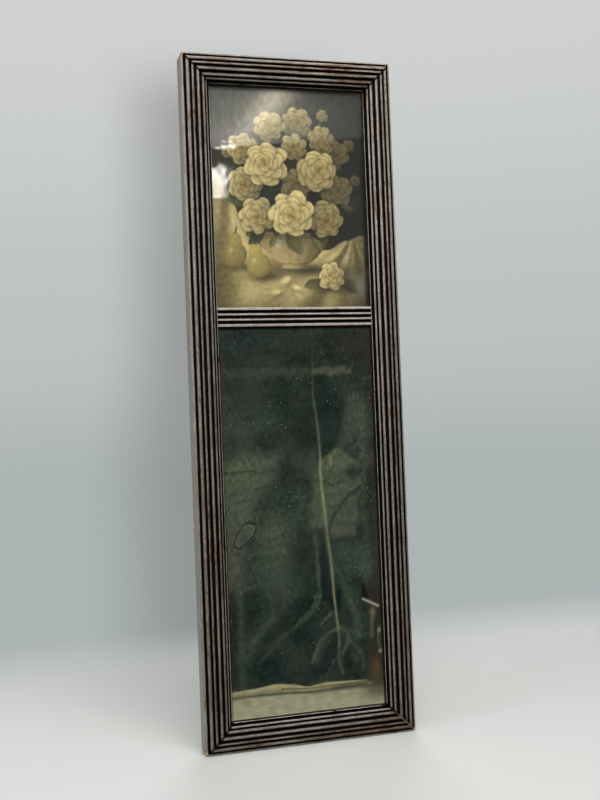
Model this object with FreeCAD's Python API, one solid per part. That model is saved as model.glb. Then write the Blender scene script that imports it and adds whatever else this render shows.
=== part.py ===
import FreeCAD, Part
import math
import os

# A narrow wall mirror with a glazed print above a mirror plate, in a reeded wooden frame.
# It is built as a frame maker builds one: four lengths of one moulding are mitred and nailed at the
# corners, a reeded crossbar is let in between the uprights, and the glass, print, mirror and boards lie
# in the rebate behind the lip, held by brads. A ring hanger is screwed to the back of the top rail.
# Millimetres. +Z is up and the front faces -Y. The origin is the middle of the bottom edge.

Vec = FreeCAD.Vector
X_AXIS = Vec(1, 0, 0)
Y_AXIS = Vec(0, 1, 0)
Z_AXIS = Vec(0, 0, 1)

# Frame, measured over the outer edges
frame_height = 536.0
frame_width = 169.5
corner_radius = 2.0

# Moulding section. "Across" runs in from the outer edge, "deep" runs back from the crown arc.
moulding_width = 22.1
moulding_depth = 20.0
crown_drop = 4.0
rebate_width = 6.0

# Grooves between the reeds, placed as shares of the crown arc from the outer edge inwards
groove_place_shares = (0.164, 0.374, 0.537, 0.743, 0.937)
groove_widths = (1.3, 1.5, 2.0, 2.0, 1.6)
groove_wall = 0.35
bead_rise_share = 0.18

# Lip at the sight edge, below the steep last reed
lip_width = 1.25
lip_drop = 7.2
lip_thickness = 2.7
lip_groove_width = 0.85
lip_groove_step = 0.6
flank_run = 0.6

# Crossbar, a tee with reeds on its face
bar_width = 14.8
bar_drop = 7.4
bar_overlap = 4.5
bar_groove_count = 3
bar_groove_width = 1.5
bar_stem_setback = 1.0

# Picture panel
picture_sight_height = 174.0
picture_glass_thickness = 2.0
print_thickness = 0.25
card_thickness = 1.0

# Mirror panel
mirror_thickness = 3.0
packing_thickness = 0.3

# Sheets and boards
sheet_clearance = 0.4
board_thickness = 3.0
board_chamfer = 1.0

# Square cut brads that hold the boards
brad_half = 0.6
brad_length = 11.0
brad_grip = 5.5
picture_side_brads = 3
mirror_side_brads = 5
end_brads = 2

# Square cut nails at the corners and in the crossbar
nail_half = 0.75
nail_length = 26.0
nail_head_half = 1.3
nail_head_length = 0.8
nail_setback = 14.5
nail_insets = (5.5, 11.0)
fit_clearance = 0.05

# Ring hanger on the back of the top rail
hanger_drop = 8.0
plate_thickness = 0.8
plate_boss_radius = 5.5
plate_end_radius = 3.3
screw_spacing = 25.0
screw_radius = 1.1
screw_length = 8.0
screw_head_radius = 2.2
screw_head_height = 1.1
screw_rim_height = 0.5
screw_slot_width = 0.5
screw_slot_depth = 0.5
eye_length = 7.0
eye_wall = 0.8
eye_floor = 0.3
ring_wire_radius = 1.0
ring_half_width = 7.0
ring_arm = 4.0
ring_bend_radius = 2.0
ring_clearance = 0.08

# Cutting tools run past the wood by this much
overrun = 1.0

# Places that follow from the sizes above
back_y = moulding_depth / 2
lip_run = lip_width + lip_groove_width + flank_run
crown_width = moulding_width - lip_run
crown_half_angle = 2 * math.atan2(crown_drop, crown_width / 2)
crown_radius = crown_width / 2 / math.sin(crown_half_angle)
rebate_deep = lip_drop + lip_thickness
wall_across = moulding_width - rebate_width
sight_half_width = frame_width / 2 - moulding_width
wall_half_width = frame_width / 2 - wall_across
bar_top = frame_height - moulding_width - picture_sight_height
bar_centre = bar_top - bar_width / 2
stem_half = bar_width / 2 - bar_overlap
board_back_picture = (rebate_deep + picture_glass_thickness + print_thickness + card_thickness
                      + board_thickness)
board_back_mirror = rebate_deep + mirror_thickness + packing_thickness + board_thickness
hanger_z = frame_height - hanger_drop
eye_bore_radius = ring_wire_radius + ring_clearance
eye_radius = eye_bore_radius + eye_wall
eye_y = back_y + plate_thickness + eye_floor + eye_bore_radius


def y_at(deep):
    """Give the Y of a place that lies deep behind the crown arc."""
    return deep - moulding_depth / 2


def section_point(across, deep):
    """Place a point of a section that will be extruded along +X."""
    return Vec(0, y_at(deep), across)


def crown_point(share, lift=0.0):
    """Give a point on the crown arc, lifted off it along its normal."""
    angle = (2 * share - 1) * crown_half_angle
    reach = crown_radius + lift
    return section_point(crown_width / 2 + reach * math.sin(angle), crown_radius - reach * math.cos(angle))


def line(start, end):
    """Join two points by a straight edge."""
    return Part.makeLine(start, end)


def bead(start, end, outward):
    """Join two points by an arc that stands out like a reed."""
    rise = bead_rise_share * (end - start).Length
    middle = (start + end) / 2 + outward * rise
    return Part.Arc(start, middle, end).toShape()


def quirk(start, end):
    """Join two rims by a groove cut straight back, with a round bottom below the deeper rim."""
    half = abs(end.z - start.z) / 2
    wall_y = max(start.y, end.y) + groove_wall
    low_start = Vec(0, wall_y, start.z)
    low_end = Vec(0, wall_y, end.z)
    bottom = Vec(0, wall_y + half, (start.z + end.z) / 2)
    return [line(start, low_start), Part.Arc(low_start, bottom, low_end).toShape(), line(low_end, end)]


def crown_normal(share):
    """Give the outward direction of the crown arc at a share of its run."""
    return (crown_point(share, crown_radius) - crown_point(share)).normalize()


def crown_edges():
    """Draw the reeds and grooves that follow the crown arc, and give the last rim too."""
    edges = []
    last_share = 0.0
    last_rim = crown_point(last_share)
    for place_share, width in zip(groove_place_shares, groove_widths):
        half_share = width / 2 / crown_radius / (2 * crown_half_angle)
        rim = crown_point(place_share - half_share)
        far_rim = crown_point(place_share + half_share)
        edges.append(bead(last_rim, rim, crown_normal((last_share + place_share) / 2)))
        edges.extend(quirk(rim, far_rim))
        last_share = place_share + half_share
        last_rim = far_rim
    return edges, last_rim


def lip_edges(last_rim):
    """Draw the steep last reed, the lip's groove and the lip down to the rebate."""
    lip_start = moulding_width - lip_width
    groove_start = lip_start - lip_groove_width
    rim = section_point(groove_start, lip_drop - lip_groove_step)
    far_rim = section_point(lip_start, lip_drop)
    sight = section_point(moulding_width, lip_drop)
    steep = Vec(0, last_rim.z - rim.z, rim.y - last_rim.y).normalize()
    return (
        [bead(last_rim, rim, steep)]
        + quirk(rim, far_rim)
        + [bead(far_rim, sight, -Y_AXIS), line(sight, section_point(moulding_width, rebate_deep))]
    )


def body_edges():
    """Draw the rebate, the back and the outer side."""
    corners = [
        section_point(moulding_width, rebate_deep),
        section_point(wall_across, rebate_deep),
        section_point(wall_across, moulding_depth),
        section_point(0, moulding_depth),
        crown_point(0),
    ]
    return [line(start, end) for start, end in zip(corners, corners[1:])]


def moulding_section():
    """Make the moulding's section as a face in the YZ plane."""
    edges, last_rim = crown_edges()
    edges = edges + lip_edges(last_rim) + body_edges()
    return Part.Face(Part.Wire(edges))


def moulding_length(length):
    """Make one length of moulding along +X, with its outer edge down and both ends mitred."""
    bar = moulding_section().extrude(Vec(length, 0, 0))
    reach = moulding_width + overrun
    outline = [(-overrun, -overrun), (length + overrun, -overrun), (length - reach, reach), (reach, reach)]
    front = y_at(0) - overrun
    points = [Vec(along, front, across) for along, across in outline]
    wedge = Part.Face(Part.makePolygon(points + points[:1]))
    return bar.common(wedge.extrude(Vec(0, moulding_depth + 2 * overrun, 0)))


def rounded_block():
    """Make the block whose rounded upright edges wear the frame's corners."""
    front = y_at(0) - overrun
    block = Part.makeBox(
        frame_width, moulding_depth + 2 * overrun, frame_height, Vec(-frame_width / 2, front, 0)
    )
    depth_edges = [edge for edge in block.Edges if abs(edge.tangentAt(edge.FirstParameter).y) > 0.5]
    return block.makeFillet(corner_radius, depth_edges)


def turned(shape, angle, place):
    """Turn a shape about the Y axis, then move it."""
    copy = shape.copy()
    copy.rotate(Vec(0, 0, 0), Y_AXIS, angle)
    copy.translate(place)
    return copy


def frame_members():
    """Make the four mitred members."""
    rail = moulding_length(frame_width)
    stile = moulding_length(frame_height)
    half = frame_width / 2
    members = {
        "rail_bottom": turned(rail, 0, Vec(-half, 0, 0)),
        "stile_right": turned(stile, -90, Vec(half, 0, 0)),
        "rail_top": turned(rail, 180, Vec(half, 0, frame_height)),
        "stile_left": turned(stile, 90, Vec(-half, 0, frame_height)),
    }
    block = rounded_block()
    return {name: shape.common(block) for name, shape in members.items()}


def bar_face_edges():
    """Draw the crossbar's reeds and grooves from its lower edge to its upper edge."""
    bead_width = (bar_width - bar_groove_count * bar_groove_width) / (bar_groove_count + 1)
    edges = []
    start = 0.0
    for index in range(bar_groove_count + 1):
        end = start + bead_width
        edges.append(bead(section_point(start, bar_drop), section_point(end, bar_drop), -Y_AXIS))
        if index < bar_groove_count:
            start = end + bar_groove_width
            edges.extend(quirk(section_point(end, bar_drop), section_point(start, bar_drop)))
    return edges


def crossbar():
    """Make the crossbar: a reeded face between the lips on a stem between the rebate walls."""
    edges = bar_face_edges()
    corners = [
        section_point(bar_width, bar_drop),
        section_point(bar_width, rebate_deep),
        section_point(0, rebate_deep),
        section_point(0, bar_drop),
    ]
    edges += [line(start, end) for start, end in zip(corners, corners[1:])]
    face = Part.Face(Part.Wire(edges)).extrude(Vec(2 * sight_half_width, 0, 0))
    face.translate(Vec(-sight_half_width, 0, bar_centre - bar_width / 2))
    stem = Part.makeBox(
        2 * wall_half_width,
        moulding_depth - bar_stem_setback - rebate_deep,
        2 * stem_half,
        Vec(-wall_half_width, y_at(rebate_deep), bar_centre - stem_half),
    )
    return face.fuse(stem).removeSplitter()


def sheet(low_z, high_z, deep, thickness):
    """Make a flat sheet that lies in the rebate between two heights of the rebate's walls."""
    half = wall_half_width - sheet_clearance
    low = low_z + sheet_clearance
    height = high_z - low_z - 2 * sheet_clearance
    return Part.makeBox(2 * half, thickness, height, Vec(-half, y_at(deep), low))


def board(low_z, high_z, back_deep):
    """Make a backing board with its back edges chamfered."""
    block = sheet(low_z, high_z, back_deep - board_thickness, board_thickness)
    back = y_at(back_deep)
    back_edges = [edge for edge in block.Edges if abs(edge.CenterOfMass.y - back) < board_thickness / 4]
    return block.makeChamfer(board_chamfer, back_edges)


def panels():
    """Make the two stacks of sheets behind the lip."""
    low_picture = bar_centre + stem_half
    high_picture = frame_height - wall_across
    low_mirror = wall_across
    high_mirror = bar_centre - stem_half
    print_deep = rebate_deep + picture_glass_thickness
    card_deep = print_deep + print_thickness
    return {
        "picture_glass": sheet(low_picture, high_picture, rebate_deep, picture_glass_thickness),
        "picture_print": sheet(low_picture, high_picture, print_deep, print_thickness),
        "picture_card": sheet(low_picture, high_picture, card_deep, card_thickness),
        "picture_backing_board": board(low_picture, high_picture, board_back_picture),
        "mirror_plate": sheet(low_mirror, high_mirror, rebate_deep, mirror_thickness),
        "mirror_packing_paper": sheet(
            low_mirror, high_mirror, rebate_deep + mirror_thickness, packing_thickness
        ),
        "mirror_backing_board": board(low_mirror, high_mirror, board_back_mirror),
    }


def spread(low, high, count):
    """Give the places of evenly spread copies, half a step in from both ends."""
    step = (high - low) / count
    return [low + (index + 0.5) * step for index in range(count)]


def square_bar(start, way, length, half):
    """Make a square bar that runs from its start along one axis, with the start in mid section."""
    end = start + way * length
    pad = Vec(*(0 if along else half for along in way))
    low = Vec(*(min(pair) for pair in zip(start, end))) - pad
    high = Vec(*(max(pair) for pair in zip(start, end))) + pad
    return Part.makeBox(*(high - low), low)


def brad(wall_place, way, extra):
    """Make a brad that stands in a rebate wall and reaches out of it over the board."""
    return square_bar(wall_place - way * (brad_grip + extra), way, brad_length + extra, brad_half + extra)


def brad_places(low_z, high_z, board_back, side_count, end_z, end_way):
    """List each brad's wall point and its direction out of that wall, for both sides and one end."""
    y = y_at(board_back + brad_half)
    places = []
    for z in spread(low_z, high_z, side_count):
        places.append((Vec(-wall_half_width, y, z), X_AXIS))
        places.append((Vec(wall_half_width, y, z), -X_AXIS))
    for x in spread(-wall_half_width, wall_half_width, end_brads):
        places.append((Vec(x, y, end_z), end_way))
    return places


def nail(head_place, way, extra):
    """Make a nail whose head lies flush at its place and whose shank runs on into the wood."""
    shank = square_bar(head_place, way, nail_length + extra, nail_half + extra)
    head = square_bar(head_place, way, nail_head_length + extra, nail_head_half + extra)
    return shank.fuse(head).removeSplitter()


def corner_nail_places():
    """List each corner's nails by node name: the head's place and the way the shank runs."""
    y = y_at(nail_setback)
    corners = {}
    for side_name, side in (("left", -1), ("right", 1)):
        xs = [side * (frame_width / 2 - inset) for inset in nail_insets]
        corners["corner_nails_top_" + side_name] = [(Vec(x, y, frame_height), -Z_AXIS) for x in xs]
        corners["corner_nails_bottom_" + side_name] = [(Vec(x, y, 0), Z_AXIS) for x in xs]
    return corners


def crossbar_nail_places():
    """List the nails that run through the uprights into the crossbar's stem."""
    y = y_at(nail_setback)
    half = frame_width / 2
    return [(Vec(-half, y, bar_centre), X_AXIS), (Vec(half, y, bar_centre), -X_AXIS)]


def screw_places():
    """List the places on the plate's face where the hanger's screws go in."""
    return [Vec(side * screw_spacing / 2, back_y + plate_thickness, hanger_z) for side in (-1, 1)]


def screw(place):
    """Make a slotted screw with a low bevelled head, which points forward."""
    shank = Part.makeCylinder(screw_radius, screw_length, place, -Y_AXIS)
    rim = Part.makeCylinder(screw_head_radius, screw_rim_height, place, Y_AXIS)
    crown_height = screw_head_height - screw_rim_height
    crown_place = place + Y_AXIS * screw_rim_height
    crown = Part.makeCone(
        screw_head_radius, screw_head_radius - crown_height, crown_height, crown_place, Y_AXIS
    )
    slot = Part.makeBox(
        2 * screw_head_radius,
        screw_slot_depth,
        screw_slot_width,
        place + Vec(-screw_head_radius, screw_head_height - screw_slot_depth, -screw_slot_width / 2),
    )
    return shank.fuse([rim, crown]).cut(slot).removeSplitter()


def plate_outline():
    """Draw the hanger plate: a round boss in the middle and a smaller round end at each screw."""
    reach = screw_spacing / 2
    lean = math.acos((plate_boss_radius - plate_end_radius) / reach)

    def point(centre_x, radius, angle):
        return Vec(centre_x + radius * math.cos(angle), 0, radius * math.sin(angle))

    boss_right = point(0, plate_boss_radius, lean)
    boss_left = point(0, plate_boss_radius, math.pi - lean)
    end_right = point(reach, plate_end_radius, lean)
    end_left = point(-reach, plate_end_radius, math.pi - lean)
    low_boss_right = point(0, plate_boss_radius, -lean)
    low_boss_left = point(0, plate_boss_radius, math.pi + lean)
    low_end_right = point(reach, plate_end_radius, -lean)
    low_end_left = point(-reach, plate_end_radius, math.pi + lean)
    edges = [
        Part.Arc(boss_right, point(0, plate_boss_radius, math.pi / 2), boss_left).toShape(),
        line(boss_left, end_left),
        Part.Arc(end_left, point(-reach, plate_end_radius, math.pi), low_end_left).toShape(),
        line(low_end_left, low_boss_left),
        Part.Arc(low_boss_left, point(0, plate_boss_radius, -math.pi / 2), low_boss_right).toShape(),
        line(low_boss_right, low_end_right),
        Part.Arc(low_end_right, point(reach, plate_end_radius, 0), end_right).toShape(),
        line(end_right, boss_right),
    ]
    return Part.Face(Part.Wire(edges))


def hanger_plate():
    """Make the brass plate with its rolled eye and its two screw holes."""
    plate = plate_outline().extrude(Vec(0, plate_thickness, 0))
    plate.translate(Vec(0, back_y, hanger_z))
    for place in screw_places():
        hole_start = place - Y_AXIS * (plate_thickness + overrun)
        hole_length = plate_thickness + 2 * overrun
        plate = plate.cut(Part.makeCylinder(screw_radius + fit_clearance, hole_length, hole_start, Y_AXIS))
    start = Vec(-eye_length / 2, eye_y, hanger_z)
    eye = Part.makeCylinder(eye_radius, eye_length, start, X_AXIS)
    cheek = Part.makeBox(
        eye_length,
        eye_y - back_y - plate_thickness / 2,
        2 * eye_radius,
        Vec(-eye_length / 2, back_y + plate_thickness / 2, hanger_z - eye_radius),
    )
    bore = Part.makeCylinder(eye_bore_radius, eye_length + 2 * overrun, start - X_AXIS * overrun, X_AXIS)
    return plate.fuse(eye).fuse(cheek).cut(bore).removeSplitter()


def ring_place(x, down):
    """Place a point of the ring's centre line below the eye."""
    return Vec(x, eye_y, hanger_z - down)


def wire_straight(start, end):
    """Make a straight stretch of the ring's wire."""
    run = end - start
    return Part.makeCylinder(ring_wire_radius, run.Length, start, run)


def wire_bend(start, heading, centre, angle):
    """Make a bent stretch that starts at a point and turns about the bend's centre."""
    disc = Part.Face(Part.Wire(Part.makeCircle(ring_wire_radius, start, heading)))
    return disc.revolve(centre, Y_AXIS, angle)


def hanger_ring():
    """Make the D ring: a straight bar in the eye, two bends, two arms and a half round."""
    half = ring_half_width
    bend = ring_bend_radius
    pieces = [
        wire_straight(ring_place(bend - half, 0), ring_place(half - bend, 0)),
        wire_bend(ring_place(half - bend, 0), X_AXIS, ring_place(half - bend, bend), 90),
        wire_straight(ring_place(half, bend), ring_place(half, ring_arm)),
        wire_bend(ring_place(half, ring_arm), Z_AXIS, ring_place(0, ring_arm), 180),
        wire_straight(ring_place(-half, ring_arm), ring_place(-half, bend)),
        wire_bend(ring_place(-half, bend), Z_AXIS, ring_place(bend - half, bend), 90),
    ]
    return pieces[0].fuse(pieces[1:]).removeSplitter()


def group(solids):
    """Keep several separate solids in one node."""
    return Part.makeCompound(solids)


def build_nodes():
    """Make every node of the mirror."""
    nodes = frame_members()
    nodes["crossbar"] = crossbar()
    nodes.update(panels())

    low_picture = bar_centre + stem_half
    high_picture = frame_height - wall_across
    high_mirror = bar_centre - stem_half
    brad_groups = {
        "picture_brads": brad_places(
            low_picture, high_picture, board_back_picture, picture_side_brads, high_picture, -Z_AXIS
        ),
        "mirror_brads": brad_places(
            wall_across, high_mirror, board_back_mirror, mirror_side_brads, wall_across, Z_AXIS
        ),
    }
    nail_groups = corner_nail_places()
    nail_groups["crossbar_nails"] = crossbar_nail_places()

    tools = []
    for name, places in brad_groups.items():
        nodes[name] = group([brad(place, way, 0) for place, way in places])
        tools += [brad(place, way, fit_clearance) for place, way in places]
    for name, places in nail_groups.items():
        nodes[name] = group([nail(place, way, 0) for place, way in places])
        tools += [nail(place, way, fit_clearance) for place, way in places]
    tools += [
        Part.makeCylinder(screw_radius + fit_clearance, screw_length + fit_clearance, place, -Y_AXIS)
        for place in screw_places()
    ]
    for name in ("stile_left", "stile_right", "rail_top", "rail_bottom", "crossbar"):
        nodes[name] = nodes[name].cut(tools)

    nodes["hanger_plate"] = hanger_plate()
    nodes["hanger_screws"] = group([screw(place) for place in screw_places()])
    nodes["hanger_ring"] = hanger_ring()
    return nodes


os.makedirs("parts", exist_ok=True)
for name, shape in build_nodes().items():
    box = shape.BoundBox
    print(f"{name}: {len(shape.Solids)} solids, volume {shape.Volume:.1f}, valid {shape.isValid()}, "
          f"x {box.XMin:.2f} to {box.XMax:.2f}, y {box.YMin:.2f} to {box.YMax:.2f}, "
          f"z {box.ZMin:.2f} to {box.ZMax:.2f}")
    shape.exportStep("parts/" + name + ".step")
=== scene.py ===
"""Looks of a narrow wall mirror: a glazed print above a mirror plate, in a reeded wooden frame.

Places and sizes are metres in the frame's own axes, with +Z up and the front facing -Y. Patterns
inside the finishes are in millimetres, because a finish reads its place in millimetres.
"""

import logging
import math
from dataclasses import dataclass
from enum import Enum
from typing import Iterable, Sequence

import bpy
import numpy as np
from mathutils import Euler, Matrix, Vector

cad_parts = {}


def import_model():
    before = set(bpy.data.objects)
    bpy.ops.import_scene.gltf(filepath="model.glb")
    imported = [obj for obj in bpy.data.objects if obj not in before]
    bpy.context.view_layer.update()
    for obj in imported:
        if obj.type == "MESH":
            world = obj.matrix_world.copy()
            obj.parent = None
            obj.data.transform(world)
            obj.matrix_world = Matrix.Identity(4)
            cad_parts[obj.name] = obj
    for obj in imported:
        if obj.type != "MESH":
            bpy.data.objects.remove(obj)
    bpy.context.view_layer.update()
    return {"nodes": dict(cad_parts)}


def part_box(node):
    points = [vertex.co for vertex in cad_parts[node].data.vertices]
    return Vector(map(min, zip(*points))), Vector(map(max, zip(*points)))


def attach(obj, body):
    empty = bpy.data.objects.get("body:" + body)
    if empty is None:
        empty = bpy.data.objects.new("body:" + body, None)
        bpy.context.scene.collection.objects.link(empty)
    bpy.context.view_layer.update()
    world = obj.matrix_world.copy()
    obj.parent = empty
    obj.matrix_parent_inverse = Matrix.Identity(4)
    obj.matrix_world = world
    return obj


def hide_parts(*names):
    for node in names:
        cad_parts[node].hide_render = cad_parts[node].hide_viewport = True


LOG = logging.getLogger("wall_mirror")
MM = 0.001
MERGE_WITHIN = 1e-6
FLAT_WITHIN = 0.3
BEVEL_ABOVE = 35.0
SMOOTH_BELOW = 32.0
FRAME_BODY = "mirror_frame"
RING_BODY = "ring"

Colour = tuple[float, float, float]
Triple = tuple[float, float, float]
Point = tuple[float, float]
Nodes = dict[str, bpy.types.Object]


class Run(Enum):
    """Which way a length of moulding runs, and whether it is the crossbar."""

    UPRIGHT = "upright"
    LEVEL = "level"
    BAR = "bar"


# Shader helper


class Wire:
    """An output in a material's graph. Where it is a number, plain signs work with it."""

    def __init__(self, graph: "Graph", socket: bpy.types.NodeSocket) -> None:
        """Hold one output of a graph."""
        self.graph = graph
        self.socket = socket

    def __add__(self, other: "Value") -> "Wire":
        """Return the sum."""
        return self.graph.math("ADD", self, other)

    def __radd__(self, other: float) -> "Wire":
        """Return a plain number plus this."""
        return self.graph.math("ADD", other, self)

    def __sub__(self, other: "Value") -> "Wire":
        """Return the difference."""
        return self.graph.math("SUBTRACT", self, other)

    def __rsub__(self, other: float) -> "Wire":
        """Return a plain number less this."""
        return self.graph.math("SUBTRACT", other, self)

    def __mul__(self, other: "Value") -> "Wire":
        """Return the product."""
        return self.graph.math("MULTIPLY", self, other)

    def __truediv__(self, other: "Value") -> "Wire":
        """Return the quotient."""
        return self.graph.math("DIVIDE", self, other)

    def __pow__(self, power: float) -> "Wire":
        """Return a power."""
        return self.graph.math("POWER", self, power)

    def __abs__(self) -> "Wire":
        """Return the number without its sign."""
        return self.graph.math("ABSOLUTE", self)

    def fit(self, factor: "Value", offset: "Value") -> "Wire":
        """Return the number times a factor plus an offset."""
        return self.graph.math("MULTIPLY_ADD", self, factor, offset)

    def rise(self, low: float, high: float, top: float = 1.0) -> "Wire":
        """Rise smoothly with the number.

        Args:
            low: Where the mask is nothing.
            high: Where the mask is full. It may lie below low, for a mask that falls.
            top: The mask's full value.

        Returns:
            The mask.
        """
        node = self.graph.add("ShaderNodeMapRange", interpolation_type="SMOOTHSTEP")
        ends = (0.0, top) if low < high else (top, 0.0)
        return self.graph.join(node, self, min(low, high), max(low, high), *ends)


Value = Wire | float
Tint = Wire | Colour


class Graph:
    """The nodes of one material or world, added and wired by short methods."""

    def __init__(self, owner: bpy.types.Material | bpy.types.World) -> None:
        """Empty the owner's nodes.

        Args:
            owner: The material or world.
        """
        self.owner = owner
        owner.use_nodes = True
        self.tree = owner.node_tree
        self.tree.nodes.clear()

    @classmethod
    def named(cls, name: str) -> "Graph":
        """Start a new material with a name."""
        return cls(bpy.data.materials.new(name))

    def add(self, kind: str, **settings: object) -> bpy.types.Node:
        """Add a node.

        Args:
            kind: The node's type name.
            settings: Properties to set on it.

        Returns:
            The new node.
        """
        node = self.tree.nodes.new(kind)
        for key, value in settings.items():
            setattr(node, key, value)
        return node

    def feed(self, socket: bpy.types.NodeSocket, value: object) -> None:
        """Wire an output to an input, or write a plain value into it.

        Args:
            socket: The input.
            value: An output, a number or a colour.
        """
        if isinstance(value, Wire):
            self.tree.links.new(value.socket, socket)
        elif socket.type == "RGBA":
            socket.default_value = (*value, 1.0)
        else:
            socket.default_value = value

    def join(self, node: bpy.types.Node, *values: object) -> Wire:
        """Feed a node's inputs in their order.

        Args:
            node: The node.
            values: Its inputs.

        Returns:
            The node's first output.
        """
        for socket, value in zip(node.inputs, values):
            self.feed(socket, value)
        return Wire(self, node.outputs[0])

    def make(self, kind: str, **inputs: object) -> Wire:
        """Add a node with inputs given by name.

        Args:
            kind: The node's type name.
            inputs: Values by input name, with underscores for the spaces.

        Returns:
            The node's first output.
        """
        node = self.add(kind)
        names = {socket.name.lower().replace(" ", "_"): socket for socket in node.inputs}
        for key, value in inputs.items():
            self.feed(names[key], value)
        return Wire(self, node.outputs[0])

    def output(self, kind: str, name: str, **settings: object) -> Wire:
        """Add a node that needs no input and return one output by its name."""
        return Wire(self, self.add(kind, **settings).outputs[name])

    def place(self) -> Wire:
        """Return the place on the piece in millimetres."""
        return self.stretch(self.output("ShaderNodeTexCoord", "Object"), (1 / MM, 1 / MM, 1 / MM))

    def attribute(self, name: str, output: str = "Fac") -> Wire:
        """Return one of the mesh's own attributes."""
        return self.output("ShaderNodeAttribute", output, attribute_name=name)

    def stretch(self, vector: Wire, factors: Triple) -> Wire:
        """Return a vector with each part multiplied by its factor."""
        return self.join(self.add("ShaderNodeVectorMath", operation="MULTIPLY"), vector, factors)

    def parts(self, vector: Wire) -> tuple[Wire, Wire, Wire]:
        """Split a vector.

        Args:
            vector: The vector.

        Returns:
            Its three parts.
        """
        first = self.join(self.add("ShaderNodeSeparateXYZ"), vector)
        outputs = first.socket.node.outputs
        return first, Wire(self, outputs[1]), Wire(self, outputs[2])

    def math(self, operation: str, *values: Value) -> Wire:
        """Work out one number from others by a math node."""
        return self.join(self.add("ShaderNodeMath", operation=operation), *values)

    def least(self, first: Value, second: Value) -> Wire:
        """Return the smaller of two numbers."""
        return self.math("MINIMUM", first, second)

    def most(self, *values: Value) -> Wire:
        """Find the largest of several numbers.

        Args:
            values: The numbers.

        Returns:
            The largest.
        """
        total = values[0]
        for value in values[1:]:
            total = self.math("MAXIMUM", total, value)
        return total

    def noise(
        self, vector: Wire, scale: float, detail: float = 3.0, rough: float = 0.5, bend: float = 0.0
    ) -> Wire:
        """Return noise around one half.

        Args:
            vector: Where it is read.
            scale: Features to a millimetre of that vector.
            detail: How many finer layers it has.
            rough: How strong the finer layers are.
            bend: How far it is distorted.

        Returns:
            The noise's output.
        """
        return self.make(
            "ShaderNodeTexNoise", vector=vector, scale=scale, detail=detail, roughness=rough,
            distortion=bend,
        )

    def cells(self, vector: Wire, scale: float) -> Wire:
        """Return the distance to the nearest of many scattered points."""
        return self.make("ShaderNodeTexVoronoi", vector=vector, scale=scale)

    def blend(self, factor: Value, first: Tint, second: Tint, kind: str = "MIX") -> Wire:
        """Mix two colours.

        Args:
            factor: How much of the second shows.
            first: The colour below.
            second: The colour above.
            kind: The mix node's blend type.

        Returns:
            The mixed colour.
        """
        node = self.add("ShaderNodeMix", data_type="RGBA", blend_type=kind)
        for index, value in ((0, factor), (6, first), (7, second)):
            self.feed(node.inputs[index], value)
        return Wire(self, node.outputs[2])

    def bump(self, height: Wire, depth: float) -> Wire:
        """Return normals bent by a height, where one stands for a depth in metres."""
        return self.make("ShaderNodeBump", strength=1.0, distance=depth, height=height)

    def surface(self, **inputs: object) -> Wire:
        """Return the main shader with inputs given by name."""
        return self.make("ShaderNodeBsdfPrincipled", **inputs)

    def mix_shaders(self, factor: Value, first: Wire, second: Wire) -> Wire:
        """Return a mix of two shaders."""
        return self.join(self.add("ShaderNodeMixShader"), factor, first, second)

    def done(self, shader: Wire) -> bpy.types.Material:
        """Wire the finished shader to the output and return the material."""
        self.feed(self.add("ShaderNodeOutputMaterial").inputs["Surface"], shader)
        return self.owner


# Finishes


@dataclass(frozen=True)
class FramePlace:
    """What the frame's paint reads of each place, in millimetres.

    Side and end are the ways in from the frame's nearer side and end, and edge is the shorter of
    them. Recess is the depth behind a straight edge laid over the reeds.
    """

    graph: Graph
    place: Wire
    grain: Wire
    x: Wire
    y: Wire
    z: Wire
    side: Wire
    end: Wire
    edge: Wire
    recess: Wire


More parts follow.
